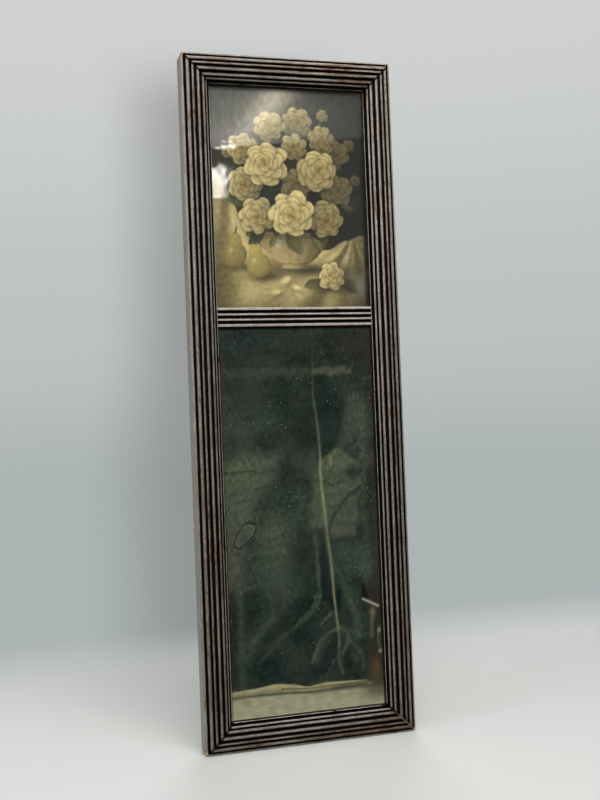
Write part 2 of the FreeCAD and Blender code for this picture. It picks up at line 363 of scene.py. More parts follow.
@dataclass(frozen=True)
class ReedPaint:
    """Silvery paint over a red-brown ground, worn on the reeds, dark paint and painted shade in the
    grooves.

    It also lays painted shade on the reeds' shoulders, the outer sides, the sight edge and towards the
    bottom, and painted light on the crests, the lip, the outer reed and the upper right. Its lengths
    are millimetres.
    """

    run: Run
    half_width: float
    height: float
    light: Colour = (0.350, 0.320, 0.286)
    dull: Colour = (0.105, 0.088, 0.076)
    # Near black, for dark specks and mitre lines, and for painted shade in the grooves and at the sight
    # edge.
    soot_and_shade: Colour = (0.0022, 0.0014, 0.0011)
    stain: Colour = (0.040, 0.016, 0.011)
    glaze: Colour = (0.70, 0.49, 0.33)
    wood: Colour = (0.25, 0.118, 0.058)
    bare: Colour = (0.62, 0.42, 0.20)
    # The outer sides' paint, darker as painted shade.
    flank: Colour = (0.215, 0.203, 0.174)
    bar_light: Colour = (0.53, 0.475, 0.425)
    # Painted highlight on the lip at the sight edge.
    lip_highlight: Colour = (0.74, 0.68, 0.59)
    raw_wood: Colour = (0.16, 0.095, 0.05)
    raw_grain: Colour = (0.07, 0.04, 0.022)
    gap_light: Colour = (0.55, 0.50, 0.42)
    stretch_along: float = 0.11
    lip_y: float = -2.45
    rebate_y: float = -0.4
    back_y: float = 9.6
    crown_side_y: float = -6.1
    bare_corner: float = 5.0
    # Width of the outer reed, which is painted lighter as painted light.
    outer_reed: float = 3.2
    joint_half: float = 1.20
    joint_narrows: float = 0.80
    # Painted shade, darker towards the bottom: full at the low height, none at the high one.
    low_shade_full_at: float = 20.0
    low_shade_none_at: float = 510.0
    low_shade: float = 0.42
    # Painted light, lighter towards the upper right.
    upper_right_light: Colour = (1.36, 1.36, 1.36)
    worn_low_rail: float = 3.4
    worn_low_stile: float = 8.4
    worn_high: float = 11.6
    # Where the lip's painted highlight starts in from the edge, and the height below which it lies.
    lip_in: float = 19.6
    lip_lit_below: float = 500.0
    brush_depth: float = 0.00012

    def build(self) -> bpy.types.Material:
        """Build the finish.

        Returns:
            The material.
        """
        graph = Graph.named(f"reed_paint_{self.run.value}")
        at = self.read(graph)
        ragged = graph.noise(at.grain, 1.2, 3.0).fit(0.16, at.recess)
        groove = ragged.rise(0.15, 0.29)

        colour = self.paint(at, ragged)
        worn, colour = self.wear(at, colour)
        colour = self.flanks(at, colour)
        corner, colour = self.corners(at, colour)
        # Dark paint with painted shade in the grooves.
        colour = graph.blend(groove, colour, self.soot_and_shade)
        colour = self.joints(at, colour, corner)
        colour, raw = self.inside(at, colour)

        height = graph.noise(at.grain, 1.4, 4.0, 0.6) * 0.5 + (1.0 - graph.most(worn, corner)) * 0.5
        shader = graph.surface(
            base_color=colour,
            roughness=0.40 + graph.most(groove, worn, raw, corner) * 0.34,
            specular_ior_level=0.06,
            normal=graph.bump(height, self.brush_depth),
        )
        return graph.done(shader)

    def read(self, graph: Graph) -> FramePlace:
        """Work out what the paint reads of each place.

        Args:
            graph: The material's graph.

        Returns:
            Each place with its ways in and its depth.
        """
        place = graph.place()
        x, y, z = graph.parts(place)
        side = self.half_width - abs(x)
        end = graph.least(z, self.height - z)
        along = self.stretch_along
        grain = graph.stretch(place, (1.0, 1.0, along) if self.run is Run.UPRIGHT else (along, 1.0, 1.0))
        recess = graph.attribute("recess") / MM
        return FramePlace(graph, place, grain, x, y, z, side, end, graph.least(side, end), recess)

    def paint(self, at: FramePlace, recess: Wire) -> Wire:
        """Lay the paint, mottled along its run, with dark specks, painted highlights on the crests, the
        lip, the outer reed and the upper right, and painted shade on the shoulders and towards the bottom.

        Args:
            at: What is read of each place.
            recess: The depth behind the reeds, made ragged.

        Returns:
            The colour.
        """
        graph = at.graph
        streaks = graph.noise(at.grain, 1.5, 5.0, 0.68).rise(0.40, 0.62)
        mottle = graph.noise(at.place, 0.9, 4.0, 0.7).rise(0.43, 0.60)
        patches = graph.noise(at.place, 0.045, 2.0).rise(0.40, 0.64)
        # Painted light: the outer reed is dimmed less.
        outer = at.edge.rise(self.outer_reed + 0.5, self.outer_reed)
        dim = (streaks * 0.24 + mottle * 0.46 + patches * 0.22) * (1.0 - outer * 0.50)
        # Painted shade on the reeds' shoulders beside the grooves.
        shoulder_shade = recess.rise(0.09, 0.20) * 0.45
        if self.run is Run.BAR:
            colour = graph.blend(dim * 0.6 + shoulder_shade, self.bar_light, self.dull)
        else:
            # Painted shade darker towards the bottom; the rails take half of it.
            top = self.low_shade if self.run is Run.UPRIGHT else self.low_shade * 0.5
            low_shade = at.z.rise(self.low_shade_none_at, self.low_shade_full_at, top)
            colour = graph.blend(dim + low_shade + shoulder_shade, self.light, self.dull)
            # Painted light towards the upper right.
            upper_right_lit = at.x.rise(-30.0, 60.0) * at.z.rise(260.0, 500.0) * 0.9
            colour = graph.blend(upper_right_lit, colour, self.upper_right_light, "MULTIPLY")
            # Painted highlight on the lip, weaker towards the right and none on the top rail.
            lit = at.z.rise(self.lip_lit_below + 8.0, self.lip_lit_below)
            lip = at.edge.rise(self.lip_in, self.lip_in + 0.4) * lit * (0.8 - at.x.rise(50.0, 62.0, 0.38))
            colour = graph.blend(lip, colour, self.lip_highlight)
        specks = graph.noise(at.place, 1.5, 2.0, 0.55).rise(0.585, 0.64)
        scarce = graph.noise(at.place, 0.16, 2.0).rise(0.42, 0.60)
        return graph.blend(specks * scarce * 0.9, colour, self.soot_and_shade)

    def flanks(self, at: FramePlace, colour: Wire) -> Wire:
        """Lay the plainer paint of the outer sides, darkened as painted shade.

        Args:
            at: What is read of each place.
            colour: The colour so far.

        Returns:
            The colour with it.
        """
        graph = at.graph
        mask = at.edge.rise(0.3, 0.1) * at.y.rise(self.crown_side_y, self.crown_side_y + 0.8)
        mottle = graph.noise(at.place, 0.35, 4.0, 0.65).rise(0.42, 0.75, 0.45)
        flank = graph.blend(mottle, self.flank, self.dull)
        scratches = graph.noise(graph.stretch(at.place, (0.3, 2.0, 0.08)), 1.0, 3.0)
        flank = graph.blend(scratches.rise(0.66, 0.72, 0.4), flank, self.stain)
        return graph.blend(mask, colour, flank)

    def wear(self, at: FramePlace, colour: Wire) -> tuple[Wire, Wire]:
        """Stain the grooves' rims, partly as painted shade, and rub the paint off in patches, down to stain
        and wood.

        Args:
            at: What is read of each place.
            colour: The colour so far.

        Returns:
            The mask of rubbed paint, and the colour with it.
        """
        graph = at.graph
        # Stain with painted shade along the rims of the grooves.
        rim_stain_and_shade = at.recess.rise(0.03, 0.16) * graph.noise(at.grain, 0.8, 4.0, 0.6).rise(0.42, 0.58)
        colour = graph.blend(rim_stain_and_shade * 0.75, colour, self.stain)
        low = self.worn_low_stile if self.run is Run.UPRIGHT else self.worn_low_rail
        band = at.edge.rise(low - 0.5, low + 0.5) * at.edge.rise(self.worn_high + 0.5, self.worn_high - 0.5)
        band = band * (0.0 if self.run is Run.BAR else 0.19)
        patches = band + graph.noise(at.place, 0.024, 3.0)
        rubbed = graph.noise(at.grain, 0.6, 6.0, 0.68)
        glazed = patches.rise(0.54, 0.66) * rubbed.rise(0.40, 0.56)
        colour = graph.blend(glazed * 0.85, colour, self.glaze, "MULTIPLY")
        worn = patches.rise(0.62, 0.72) * rubbed.rise(0.53, 0.60)
        bare = graph.noise(at.grain, 0.7, 4.0, 0.6).rise(0.48, 0.58)
        colour = graph.blend(worn * 0.8, colour, graph.blend(bare, self.stain, self.wood))
        pricks = graph.noise(at.place, 1.1, 3.0).rise(0.64, 0.68) * at.recess.rise(0.16, 0.0) * 0.8
        return worn, graph.blend(pricks, colour, self.stain)

    def corners(self, at: FramePlace, colour: Wire) -> tuple[Wire, Wire]:
        """Lay the bare wood of the outer corners and the pale nicks of the outer arris.

        Args:
            at: What is read of each place.
            colour: The colour so far.

        Returns:
            The mask of the bare corners, and the colour with them.
        """
        graph = at.graph
        reach = graph.math("SQRT", at.side * at.side + at.end * at.end)
        ragged = graph.noise(at.place, 0.5, 4.0).fit(5.0, reach)
        mask = ragged.rise(self.bare_corner + 2.2, self.bare_corner)
        mask = mask * at.y.rise(self.crown_side_y + 5.5, self.crown_side_y + 2.5)
        arris = at.edge.rise(0.5, 0.0) * at.y.rise(self.crown_side_y + 1.0, self.crown_side_y + 0.2)
        nicks = graph.noise(at.place, 0.11, 5.0, 0.7).rise(0.58, 0.63)
        colour = graph.blend(arris * nicks * 0.85, colour, self.gap_light)
        tint = graph.blend(graph.noise(at.place, 0.8, 4.0).rise(0.38, 0.60), self.bare, self.wood)
        tint = graph.blend(graph.noise(at.place, 1.3, 3.0).rise(0.60, 0.68), tint, self.stain)
        return mask, graph.blend(mask * 0.9, colour, tint)

    def joints(self, at: FramePlace, colour: Wire, bare: Wire) -> Wire:
        """Draw a dark line along each mitre, and a thin pale gap at the lower right.

        Args:
            at: What is read of each place.
            colour: The colour so far.
            bare: The mask of the bare corners.

        Returns:
            The colour with them.
        """
        graph = at.graph
        outer = at.edge.rise(1.0, 0.4) * at.y.rise(self.crown_side_y, self.crown_side_y + 1.0)
        apart = abs(at.side - at.end)
        wander = outer.fit(self.joint_narrows, graph.noise(at.place, 0.4, 3.0).fit(-0.35, apart))
        line = wander.rise(self.joint_half, self.joint_half - 0.30) * (1.0 - bare * 0.8) * 0.95
        colour = graph.blend(line, colour, self.soot_and_shade)
        corner = at.x.rise(66.0, 72.0) * at.z.rise(20.0, 14.0)
        return graph.blend(apart.rise(0.34, 0.16) * corner * 0.7, colour, self.gap_light)

    def inside(self, at: FramePlace, colour: Wire) -> tuple[Wire, Wire]:
        """Lay painted shade on the sight edge behind the lip, and the bare wood behind it.

        Args:
            at: What is read of each place.
            colour: The colour so far.

        Returns:
            The colour with them, and the wood's mask.
        """
        graph = at.graph
        inner = at.edge.rise(1.0, 2.0)
        # Painted shade on the sight edge behind the lip.
        colour = graph.blend(inner * at.y.rise(self.lip_y - 0.3, self.lip_y), colour, self.soot_and_shade)
        rings = graph.noise(at.grain, 0.7, 4.0, 0.6, 0.4).rise(0.3, 0.7)
        wood = graph.blend(rings, self.raw_wood, self.raw_grain)
        behind = at.y.rise(self.back_y - 0.4, self.back_y)
        mask = graph.most(behind, inner * at.y.rise(self.rebate_y - 0.2, self.rebate_y))
        return graph.blend(mask, colour, wood), mask


@dataclass(frozen=True)
class BoardWood:
    """Thin softwood board, browned by age, with its grain upright."""

    name: str
    ring_shift: float = 0.0
    pale: Colour = (0.30, 0.185, 0.095)
    late: Colour = (0.178, 0.100, 0.048)
    stain: Colour = (0.05, 0.032, 0.02)
    grain_depth: float = 0.00012

    def build(self) -> bpy.types.Material:
        """Build the finish.

        Returns:
            The material.
        """
        graph = Graph.named(self.name)
        place = graph.place()
        sway = graph.noise(graph.stretch(place, (0.02, 0.02, 0.006)), 1.0, 2.0)
        rings = sway.fit(60.0, graph.parts(place)[0] + self.ring_shift)
        wave = graph.math("SINE", rings * 1.15)
        fibre = graph.noise(graph.stretch(place, (1.0, 1.0, 0.04)), 2.2, 4.0, 0.65)
        lines = fibre.fit(1.1, wave).rise(-0.2, 1.5)
        colour = graph.blend(lines, self.pale, self.late)
        blotch = graph.noise(place, 0.03, 4.0, 0.6).rise(0.48, 0.72)
        colour = graph.blend(blotch * 0.6, colour, self.stain)
        flecks = graph.noise(place, 0.8, 2.0).rise(0.68, 0.74)
        colour = graph.blend(flecks * 0.7, colour, self.stain)
        shader = graph.surface(
            base_color=colour,
            roughness=fibre.fit(0.2, 0.6),
            specular_ior_level=0.25,
            normal=graph.bump(lines.fit(-0.5, fibre), self.grain_depth),
        )
        return graph.done(shader)


@dataclass(frozen=True)
class AgedSilvering:
    """Mirror plate whose silvering is a little hazy, with foxed edges, specks and one blister.

    Its top and sides are darker: tarnish and a painted reflection of the frame's dark sight edge.
    Its lengths are millimetres.
    """

    half_width: float
    low: float
    high: float
    tint: Colour = (0.56, 0.57, 0.47)
    foxed: Colour = (0.20, 0.17, 0.11)
    haze: Colour = (0.36, 0.37, 0.33)
    # Tarnish and painted reflection of the frame's dark sight edge, along the top and sides.
    rim_tarnish_and_reflection: Colour = (0.02, 0.018, 0.014)
    paint_back: Colour = (0.10, 0.035, 0.022)
    paint_dark: Colour = (0.05, 0.02, 0.015)
    blister_place: Point = (-47.0, 163.6)
    blister_half: Point = (4.8, 10.6)
    blister_lean: float = 38.0
    blister_power: float = 2.6
    rebate_side: float = 5.6
    rebate_top: float = 4.1
    back_low: float = 2.2
    back_high: float = 2.6

    def build(self) -> bpy.types.Material:
        """Build the finish.

        Returns:
            The material.
        """
        graph = Graph.named("aged_silvering")
        place = graph.place()
        x, y, z = graph.parts(place)
        side = self.half_width - abs(x)
        top = self.high - z
        edge = graph.least(side, graph.least(z - self.low, top))
        foxing = graph.noise(place, 0.12, 5.0, 0.65).fit(16.0, edge).rise(13.0, 5.0, 0.75)
        specks = graph.cells(place, 0.13).rise(0.075, 0.03)
        specks = specks * graph.noise(place, 0.05, 2.0).rise(0.48, 0.6)
        clouds = graph.noise(graph.stretch(place, (1.0, 1.0, 0.45)), 0.035, 5.0, 0.65).rise(0.42, 0.75)
        tooth = graph.noise(place, 0.8, 4.0, 0.7).rise(0.42, 0.66, 0.22)
        rim, core, halo = self.blister(graph, x, z, place)
        dim = graph.most(foxing, clouds * 0.30, tooth, halo * 0.7, specks)
        colour = graph.blend(dim, self.tint, self.foxed)
        # Darker along the top and sides: tarnish and a painted reflection of the frame's dark sight edge.
        sight_edge_reflection = graph.most(
            top.rise(self.rebate_top + 3.4, self.rebate_top + 1.2),
            side.rise(self.rebate_side + 2.2, self.rebate_side + 0.5) * 0.75,
        )
        colour = graph.blend(sight_edge_reflection * 0.93, colour, self.rim_tarnish_and_reflection)
        motes = graph.cells(place, 0.21).rise(0.115, 0.060) * graph.noise(place, 0.03, 3.0).rise(0.43, 0.58)
        veil = graph.most(clouds * 0.03, rim * 0.10, core * 0.045, motes * 0.36)
        front = graph.surface(
            base_color=graph.blend(veil, colour, self.haze),
            metallic=1.0 - veil,
            roughness=0.03 + graph.most(clouds, foxing, core) * 0.04,
            specular_ior_level=0.5,
        )
        mottle = graph.blend(graph.noise(place, 0.2, 4.0), self.paint_back, self.paint_dark)
        back = graph.surface(base_color=mottle, roughness=0.6)
        return graph.done(graph.mix_shaders(y.rise(self.back_low, self.back_high), front, back))

    def blister(self, graph: Graph, x: Wire, z: Wire, place: Wire) -> tuple[Wire, Wire, Wire]:
        """Shape the long blister in the silvering.

        Args:
            graph: The material's graph.
            x: The place's distance to the right.
            z: The place's height.
            place: The place.

        Returns:
            The masks of its rim, its inside and the dark halo round it.
        """
        lean = math.radians(self.blister_lean)
        right, above = x - self.blister_place[0], z - self.blister_place[1]
        across = right * math.cos(lean) - above * math.sin(lean)
        along = right * math.sin(lean) + above * math.cos(lean)
        power = self.blister_power
        total = abs(across / along.fit(0.085, self.blister_half[0])) ** power
        total = total + abs(along / self.blister_half[1]) ** power
        reach = total ** (1 / power) + graph.noise(place, 0.20, 3.0).fit(0.44, -0.22)
        rim, halo = abs(reach - 0.86).rise(0.11, 0.03), abs(reach - 1.06).rise(0.16, 0.04)
        return rim, reach.rise(0.9, 0.7), halo


@dataclass(frozen=True)
class PictureGlass:
    """Thin clear glass with a little dust, which keeps lamps and sight going through.

    Its one gloss stands for the reflections of both faces, so its index is above plain glass's.
    """

    index: float = 1.8
    clear: Colour = (0.97, 0.98, 0.96)
    gloss: Colour = (1.0, 1.0, 1.0)
    gloss_rough: float = 0.012
    dust: Colour = (0.6, 0.6, 0.55)

    def build(self) -> bpy.types.Material:
        """Build the finish.

        Returns:
            The material.
        """
        graph = Graph.named("picture_glass")
        place = graph.place()
        front = 1.0 - graph.output("ShaderNodeNewGeometry", "Backfacing")
        clear = graph.make("ShaderNodeBsdfTransparent", color=self.clear)
        gloss = graph.make("ShaderNodeBsdfGlossy", color=self.gloss, roughness=self.gloss_rough)
        share = graph.make("ShaderNodeFresnel", ior=self.index) * front
        pane = graph.mix_shaders(share, clear, gloss)
        dusty = graph.noise(place, 0.06, 2.0).rise(0.5, 0.65)
        motes = graph.cells(place, 0.45).rise(0.09, 0.05) * dusty * 0.35
        film = graph.noise(place, 0.05, 4.0, 0.6).rise(0.45, 0.8, 0.025)
        dust = graph.make("ShaderNodeBsdfDiffuse", color=self.dust)
        return graph.done(graph.mix_shaders(graph.most(motes, film) * front, pane, dust))


@dataclass(frozen=True)
class PrintPaper:
    """Matt printed paper: the painted colour with paper grain and a few brown spots."""

    spot: Colour = (0.10, 0.075, 0.04)
    pores: Colour = (0.05, 0.045, 0.03)
    tooth_depth: float = 0.00003

    def build(self) -> bpy.types.Material:
        """Build the finish.

        Returns:
            The material.
        """
        graph = Graph.named("print_paper")
        place = graph.place()
        tooth = graph.noise(place, 2.6, 3.0, 0.6)
        ink = graph.attribute("ink", "Color")
        colour = graph.blend(tooth.rise(0.3, 0.75, 0.22), ink, self.pores, "MULTIPLY")
        colour = graph.blend(graph.cells(place, 0.11).rise(0.05, 0.02, 0.6), colour, self.spot)
        normal = graph.bump(tooth, self.tooth_depth)
        return graph.done(
            graph.surface(base_color=colour, roughness=0.62, specular_ior_level=0.3, normal=normal)
        )


@dataclass(frozen=True)
class Pulp:
    """Card or paper with fibres, foxed by age."""

    name: str
    face: Colour
    fox: Colour = (0.16, 0.09, 0.04)
    fibre_depth: float = 0.00006

    def build(self) -> bpy.types.Material:
        """Build the finish.

        Returns:
            The material.
        """
        graph = Graph.named(self.name)
        place = graph.place()
        fibre = graph.noise(graph.stretch(place, (1.0, 1.0, 0.4)), 1.8, 5.0, 0.7)
        colour = graph.blend(fibre.rise(0.3, 0.75, 0.35), self.face, self.fox)
        stain = graph.noise(place, 0.05, 4.0, 0.6).rise(0.5, 0.75, 0.6)
        colour = graph.blend(stain, colour, self.fox)
        normal = graph.bump(fibre, self.fibre_depth)
        return graph.done(
            graph.surface(base_color=colour, roughness=0.85, specular_ior_level=0.2, normal=normal)
        )


@dataclass(frozen=True)
class OldMetal:
    """Bare metal that is tarnished or rusted in patches, from one level of the noise to another."""

    name: str
    bright: Colour
    tarnish: Colour
    bright_rough: float
    cover_low: float
    cover_high: float
    pit_depth: float = 0.00005

    def build(self) -> bpy.types.Material:
        """Build the finish.

        Returns:
            The material.
        """
        graph = Graph.named(self.name)
        place = graph.place()
        cover = graph.noise(place, 0.55, 5.0, 0.65).rise(self.cover_low, self.cover_high)
        fine = graph.noise(place, 4.0, 4.0, 0.6)
        colour = graph.blend(cover, self.bright, self.tarnish)
        colour = graph.blend(fine.rise(0.4, 0.8, 0.4), colour, self.tarnish)
        shader = graph.surface(
            base_color=colour,
            metallic=cover.fit(-0.65, 1.0),
            roughness=cover.fit(0.35, self.bright_rough),
            normal=graph.bump(fine, self.pit_depth),
        )
        return graph.done(shader)


OLD_CARD = Pulp("old_card", face=(0.34, 0.27, 0.17))
OLD_PAPER = Pulp("old_paper", face=(0.24, 0.18, 0.10))
RUSTY_IRON = OldMetal(
    "rusty_iron", bright=(0.30, 0.28, 0.26), tarnish=(0.12, 0.055, 0.028), bright_rough=0.45,
    cover_low=0.35, cover_high=0.6,
)
OLD_BRASS = OldMetal(
    "old_brass", bright=(0.62, 0.44, 0.18), tarnish=(0.16, 0.10, 0.045), bright_rough=0.28,
    cover_low=0.40, cover_high=0.72,
)
SCREW_BRASS = OldMetal(
    "screw_brass", bright=(0.58, 0.42, 0.20), tarnish=(0.12, 0.08, 0.04), bright_rough=0.30,
    cover_low=0.36, cover_high=0.66,
)


# Modelling helpers


def activate(piece: bpy.types.Object) -> None:
    """Make one object the only selected and active one.

    Args:
        piece: The object.
    """
    bpy.ops.object.select_all(action="DESELECT")
    piece.select_set(True)
    bpy.context.view_layer.objects.active = piece


def merged_copy(node: bpy.types.Object, name: str) -> bpy.types.Object:
    """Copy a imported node's mesh into a new piece and merge its loose triangles.

    Args:
        node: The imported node's object.
        name: The new piece's name.

    Returns:
        The new piece, with its triangles paired into quads where they are flat.
    """
    mesh = node.data.copy()
    mesh.materials.clear()
    piece = bpy.data.objects.new(name, mesh)
    bpy.context.scene.collection.objects.link(piece)
    activate(piece)
    bpy.ops.object.mode_set(mode="EDIT")
    bpy.ops.mesh.select_all(action="SELECT")
    bpy.ops.mesh.remove_doubles(threshold=MERGE_WITHIN)
    bpy.ops.mesh.customdata_custom_splitnormals_clear()
    flat = math.radians(FLAT_WITHIN)
    bpy.ops.mesh.tris_convert_to_quads(face_threshold=flat, shape_threshold=math.pi)
    bpy.ops.object.mode_set(mode="OBJECT")
    return piece


def cut_stations(piece: bpy.types.Object, axis: int, step: float) -> None:
    """Cut a piece across its length at even steps, so that its surface can be worn.

    Args:
        piece: The piece.
        axis: The axis that it runs along.
        step: The longest way between two cuts.
    """
    places = [corner[axis] for corner in piece.bound_box]
    count = math.ceil((max(places) - min(places)) / step)
    normal = [float(index == axis) for index in range(3)]
    activate(piece)
    bpy.ops.object.mode_set(mode="EDIT")
    for index in range(1, count):
        point = [0.0, 0.0, 0.0]
        point[axis] = min(places) + (max(places) - min(places)) * index / count
        bpy.ops.mesh.select_all(action="SELECT")
        bpy.ops.mesh.bisect(plane_co=point, plane_no=normal)
    bpy.ops.object.mode_set(mode="OBJECT")


def soften(piece: bpy.types.Object, width: float, segments: int = 2) -> None:
    """Round a piece's sharp edges by a bevel that is applied.

    Args:
        piece: The piece.
        width: How far the bevel reaches.
        segments: How many faces make the round.
    """
    activate(piece)
    bevel = piece.modifiers.new("soft_edges", "BEVEL")
    bevel.width = width
    bevel.segments = segments
    bevel.limit_method = "ANGLE"
    bevel.angle_limit = math.radians(BEVEL_ABOVE)
    bevel.use_clamp_overlap = True
    bpy.ops.object.modifier_apply(modifier=bevel.name)
    smooth(piece)


def smooth(piece: bpy.types.Object, angle: float = SMOOTH_BELOW) -> None:
    """Shade a piece smooth across edges below an angle in degrees."""
    activate(piece)
    bpy.ops.object.shade_smooth_by_angle(angle=math.radians(angle))


def corners_of(piece: bpy.types.Object) -> np.ndarray:
    """Read a piece's mesh corners.

    Args:
        piece: The piece.

    Returns:
        Rows of three.
    """
    flat = np.zeros(len(piece.data.vertices) * 3, np.float32)
    piece.data.vertices.foreach_get("co", flat)
    return flat.reshape(-1, 3).astype(float)


def move_points(piece: bpy.types.Object, points: np.ndarray) -> None:
    """Put a piece's mesh corners at new places, given as rows of three."""
    piece.data.vertices.foreach_set("co", points.astype(np.float32).ravel())
    piece.data.update()


def grid(name: str, columns: int, rows: int, width: float, height: float) -> bpy.types.Object:
    """Model an upright grid about the origin that faces the front.

    Args:
        name: Its name.
        columns: How many cells it has across.
        rows: How many cells it has upwards.
        width: Its width.
        height: Its height.

    Returns:
        The grid.
    """
    bpy.ops.object.select_all(action="DESELECT")
    bpy.ops.mesh.primitive_grid_add(
        x_subdivisions=columns, y_subdivisions=rows, size=1.0, rotation=(math.pi / 2, 0, 0)
    )
    piece = bpy.context.object
    piece.name = name
    piece.scale = (width, height, 1.0)
    bpy.ops.object.transform_apply(location=True, rotation=True, scale=True)
    return piece


def dress(piece: bpy.types.Object, material: bpy.types.Material) -> None:
    """Give a piece one material all over."""
    piece.data.materials.clear()
    piece.data.materials.append(material)


def settle(piece: bpy.types.Object, body: str, node: str) -> None:
    """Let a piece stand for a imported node.

    Args:
        piece: The finished piece.
        body: The body that it rides on.
        node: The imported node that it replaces.
    """
    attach(piece, body)
    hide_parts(node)
    LOG.info("%s stands for %s, %d faces", piece.name, node, len(piece.data.polygons))


def store_colours(piece: bpy.types.Object, name: str, colours: np.ndarray) -> None:
    """Store colours on a piece's mesh corners, one row of four for each, under a name."""
    layer = piece.data.attributes.new(name, "FLOAT_COLOR", "POINT")
    layer.data.foreach_set("color", colours.astype(np.float32).ravel())


@dataclass
class Assembly:
    """A sub-assembly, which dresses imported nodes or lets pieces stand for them."""

    nodes: Nodes

    def keep(self, name: str, material: bpy.types.Material) -> None:
        """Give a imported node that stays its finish, through its material slots.

        Args:
            name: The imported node.
            material: Its finish.
        """
        node = self.nodes[name]
        if not node.material_slots:
            node.data.materials.append(material)
        for slot in node.material_slots:
            slot.material = material
        LOG.info("%s keeps its packed shape", name)

    def rounded(
        self, node: str, name: str, slot: str, material: bpy.types.Material, edge: float, segments: int = 2
    ) -> None:
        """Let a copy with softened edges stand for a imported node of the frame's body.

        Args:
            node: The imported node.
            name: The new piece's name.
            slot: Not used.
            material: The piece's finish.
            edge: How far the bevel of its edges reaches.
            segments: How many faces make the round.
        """
        piece = merged_copy(self.nodes[node], name)
        soften(piece, edge, segments)
        dress(piece, material)
        settle(piece, FRAME_BODY, node)


# The frame


@dataclass
class ReededFrame(Assembly):
    """The four mitred lengths of moulding and the crossbar, with their wear."""

    low: Vector
    high: Vector
    station_step: float = 0.003
    wave_depth: float = 0.00010
    wave_size: float = 0.011
    dent_depth: float = 0.0005
    dent_reach: float = 0.0022
    dent_count: int = 30
    corner_reach: float = 0.0055
    corner_depth: float = 0.0004
    skin: float = 0.05 * MM
    recess_back: float = -1.2 * MM
    front_back: float = -1.5 * MM
    outer_skin: float = 0.3 * MM
    outer_back: float = 9.0 * MM
    flank_front: float = -6.0 * MM
    mitre_calm: float = 3 * MM
    seed: int = 7

    def build(self) -> None:
        """Build every length and finish it."""
        width = (self.high.x - self.low.x) / MM
        height = (self.high.z - self.low.z) / MM
        paints = {run: ReedPaint(run, width / 2, height).build() for run in Run}
        lengths = {
            "stile_left": Run.UPRIGHT,
            "stile_right": Run.UPRIGHT,
            "rail_top": Run.LEVEL,
            "rail_bottom": Run.LEVEL,
            "crossbar": Run.BAR,
        }
        for index, (name, run) in enumerate(lengths.items()):
            piece = merged_copy(self.nodes[name], f"{name}_reeded")
            cut_stations(piece, 2 if run is Run.UPRIGHT else 0, self.station_step)
            self.mark_recess(piece, name, run)
            if name != "crossbar":
                self.wear(piece, self.seed + index)
            smooth(piece)
            dress(piece, paints[run])
            settle(piece, FRAME_BODY, name)

    def across(self, points: np.ndarray, name: str, run: Run) -> np.ndarray:
        """Measure how far points lie in from a length's outer edge.

        Args:
            points: Rows of three.
            name: The length's node.
            run: Which way it runs.

        Returns:
            One distance for each point.
        """
        if name == "crossbar":
            return points[:, 2] - points[:, 2].min()
        if run is Run.UPRIGHT:
            return self.high.x - np.abs(points[:, 0])
        return np.minimum(points[:, 2] - self.low.z, self.high.z - points[:, 2])

    def mark_recess(self, piece: bpy.types.Object, name: str, run: Run) -> None:
        """Store how deep each point lies behind a straight edge laid over the reeds.

        Args:
            piece: The piece.
            name: Its node.
            run: Which way it runs.
        """
        points = corners_of(piece)
        across = self.across(points, name, run)
        front = points[:, 1]
        hull = lower_hull(np.column_stack([across, front]))
        over = np.interp(across, hull[:, 0], hull[:, 1])
        recess = np.maximum(front - over, 0.0)
        sight = across.max() if name != "crossbar" else math.inf
        outside = (across < self.skin) | (across > sight - self.skin) | (front > self.recess_back)
        recess[outside] = 0.0
        layer = piece.data.attributes.new("recess", "FLOAT", "POINT")
        layer.data.foreach_set("value", recess.astype(np.float32))

    def wear(self, piece: bpy.types.Object, seed: int) -> None:
        """Press dents, worn corners and slight waves into a length.

        Args:
            piece: The piece.
            seed: Sets where its dents fall.
        """
        points = corners_of(piece)
        middle = (self.low + self.high) / 2
        side = self.high.x - np.abs(points[:, 0])
        end = np.minimum(points[:, 2] - self.low.z, self.high.z - points[:, 2])
        front = points[:, 1] < self.front_back
        outer = (np.minimum(side, end) < self.outer_skin) & (points[:, 1] < self.outer_back)
        flank = outer & (points[:, 1] > self.flank_front)
        inward = np.zeros_like(points)
        inward[:, 1] = ~flank
        inward[:, 0] = -np.sign(points[:, 0]) * (flank & (side < end))
        inward[:, 2] = -np.sign(points[:, 2] - middle.z) * (flank & (side >= end))
        draw = np.random.default_rng(seed)
        push = self.wave_depth * np.clip(0.5 + rough(points, self.wave_size, draw), 0.0, 1.5)
        push *= np.clip(np.abs(side - end) / self.mitre_calm, 0.0, 1.0)
        spots = points[draw.choice(np.flatnonzero(front | outer), self.dent_count)]
        depths = self.dent_depth * draw.uniform(0.3, 1.0, self.dent_count)
        for spot, depth, reach in zip(spots, depths, draw.uniform(0.5, 1.0, self.dent_count)):
            away = np.linalg.norm(points - spot, axis=1) / (self.dent_reach * reach)
            push += depth * bell(away)
        moved = points + inward * push[:, None]
        rub = self.corner_depth * np.clip(1.0 - np.hypot(side, end) / self.corner_reach, 0.0, 1.0) ** 2
        moved[:, 0] -= np.sign(points[:, 0]) * rub * 0.5
        moved[:, 2] -= np.sign(points[:, 2] - middle.z) * rub * 0.5
        moved[:, 1] += rub * front
        keep = ~(front | outer)
        moved[keep] = points[keep]
        move_points(piece, moved)


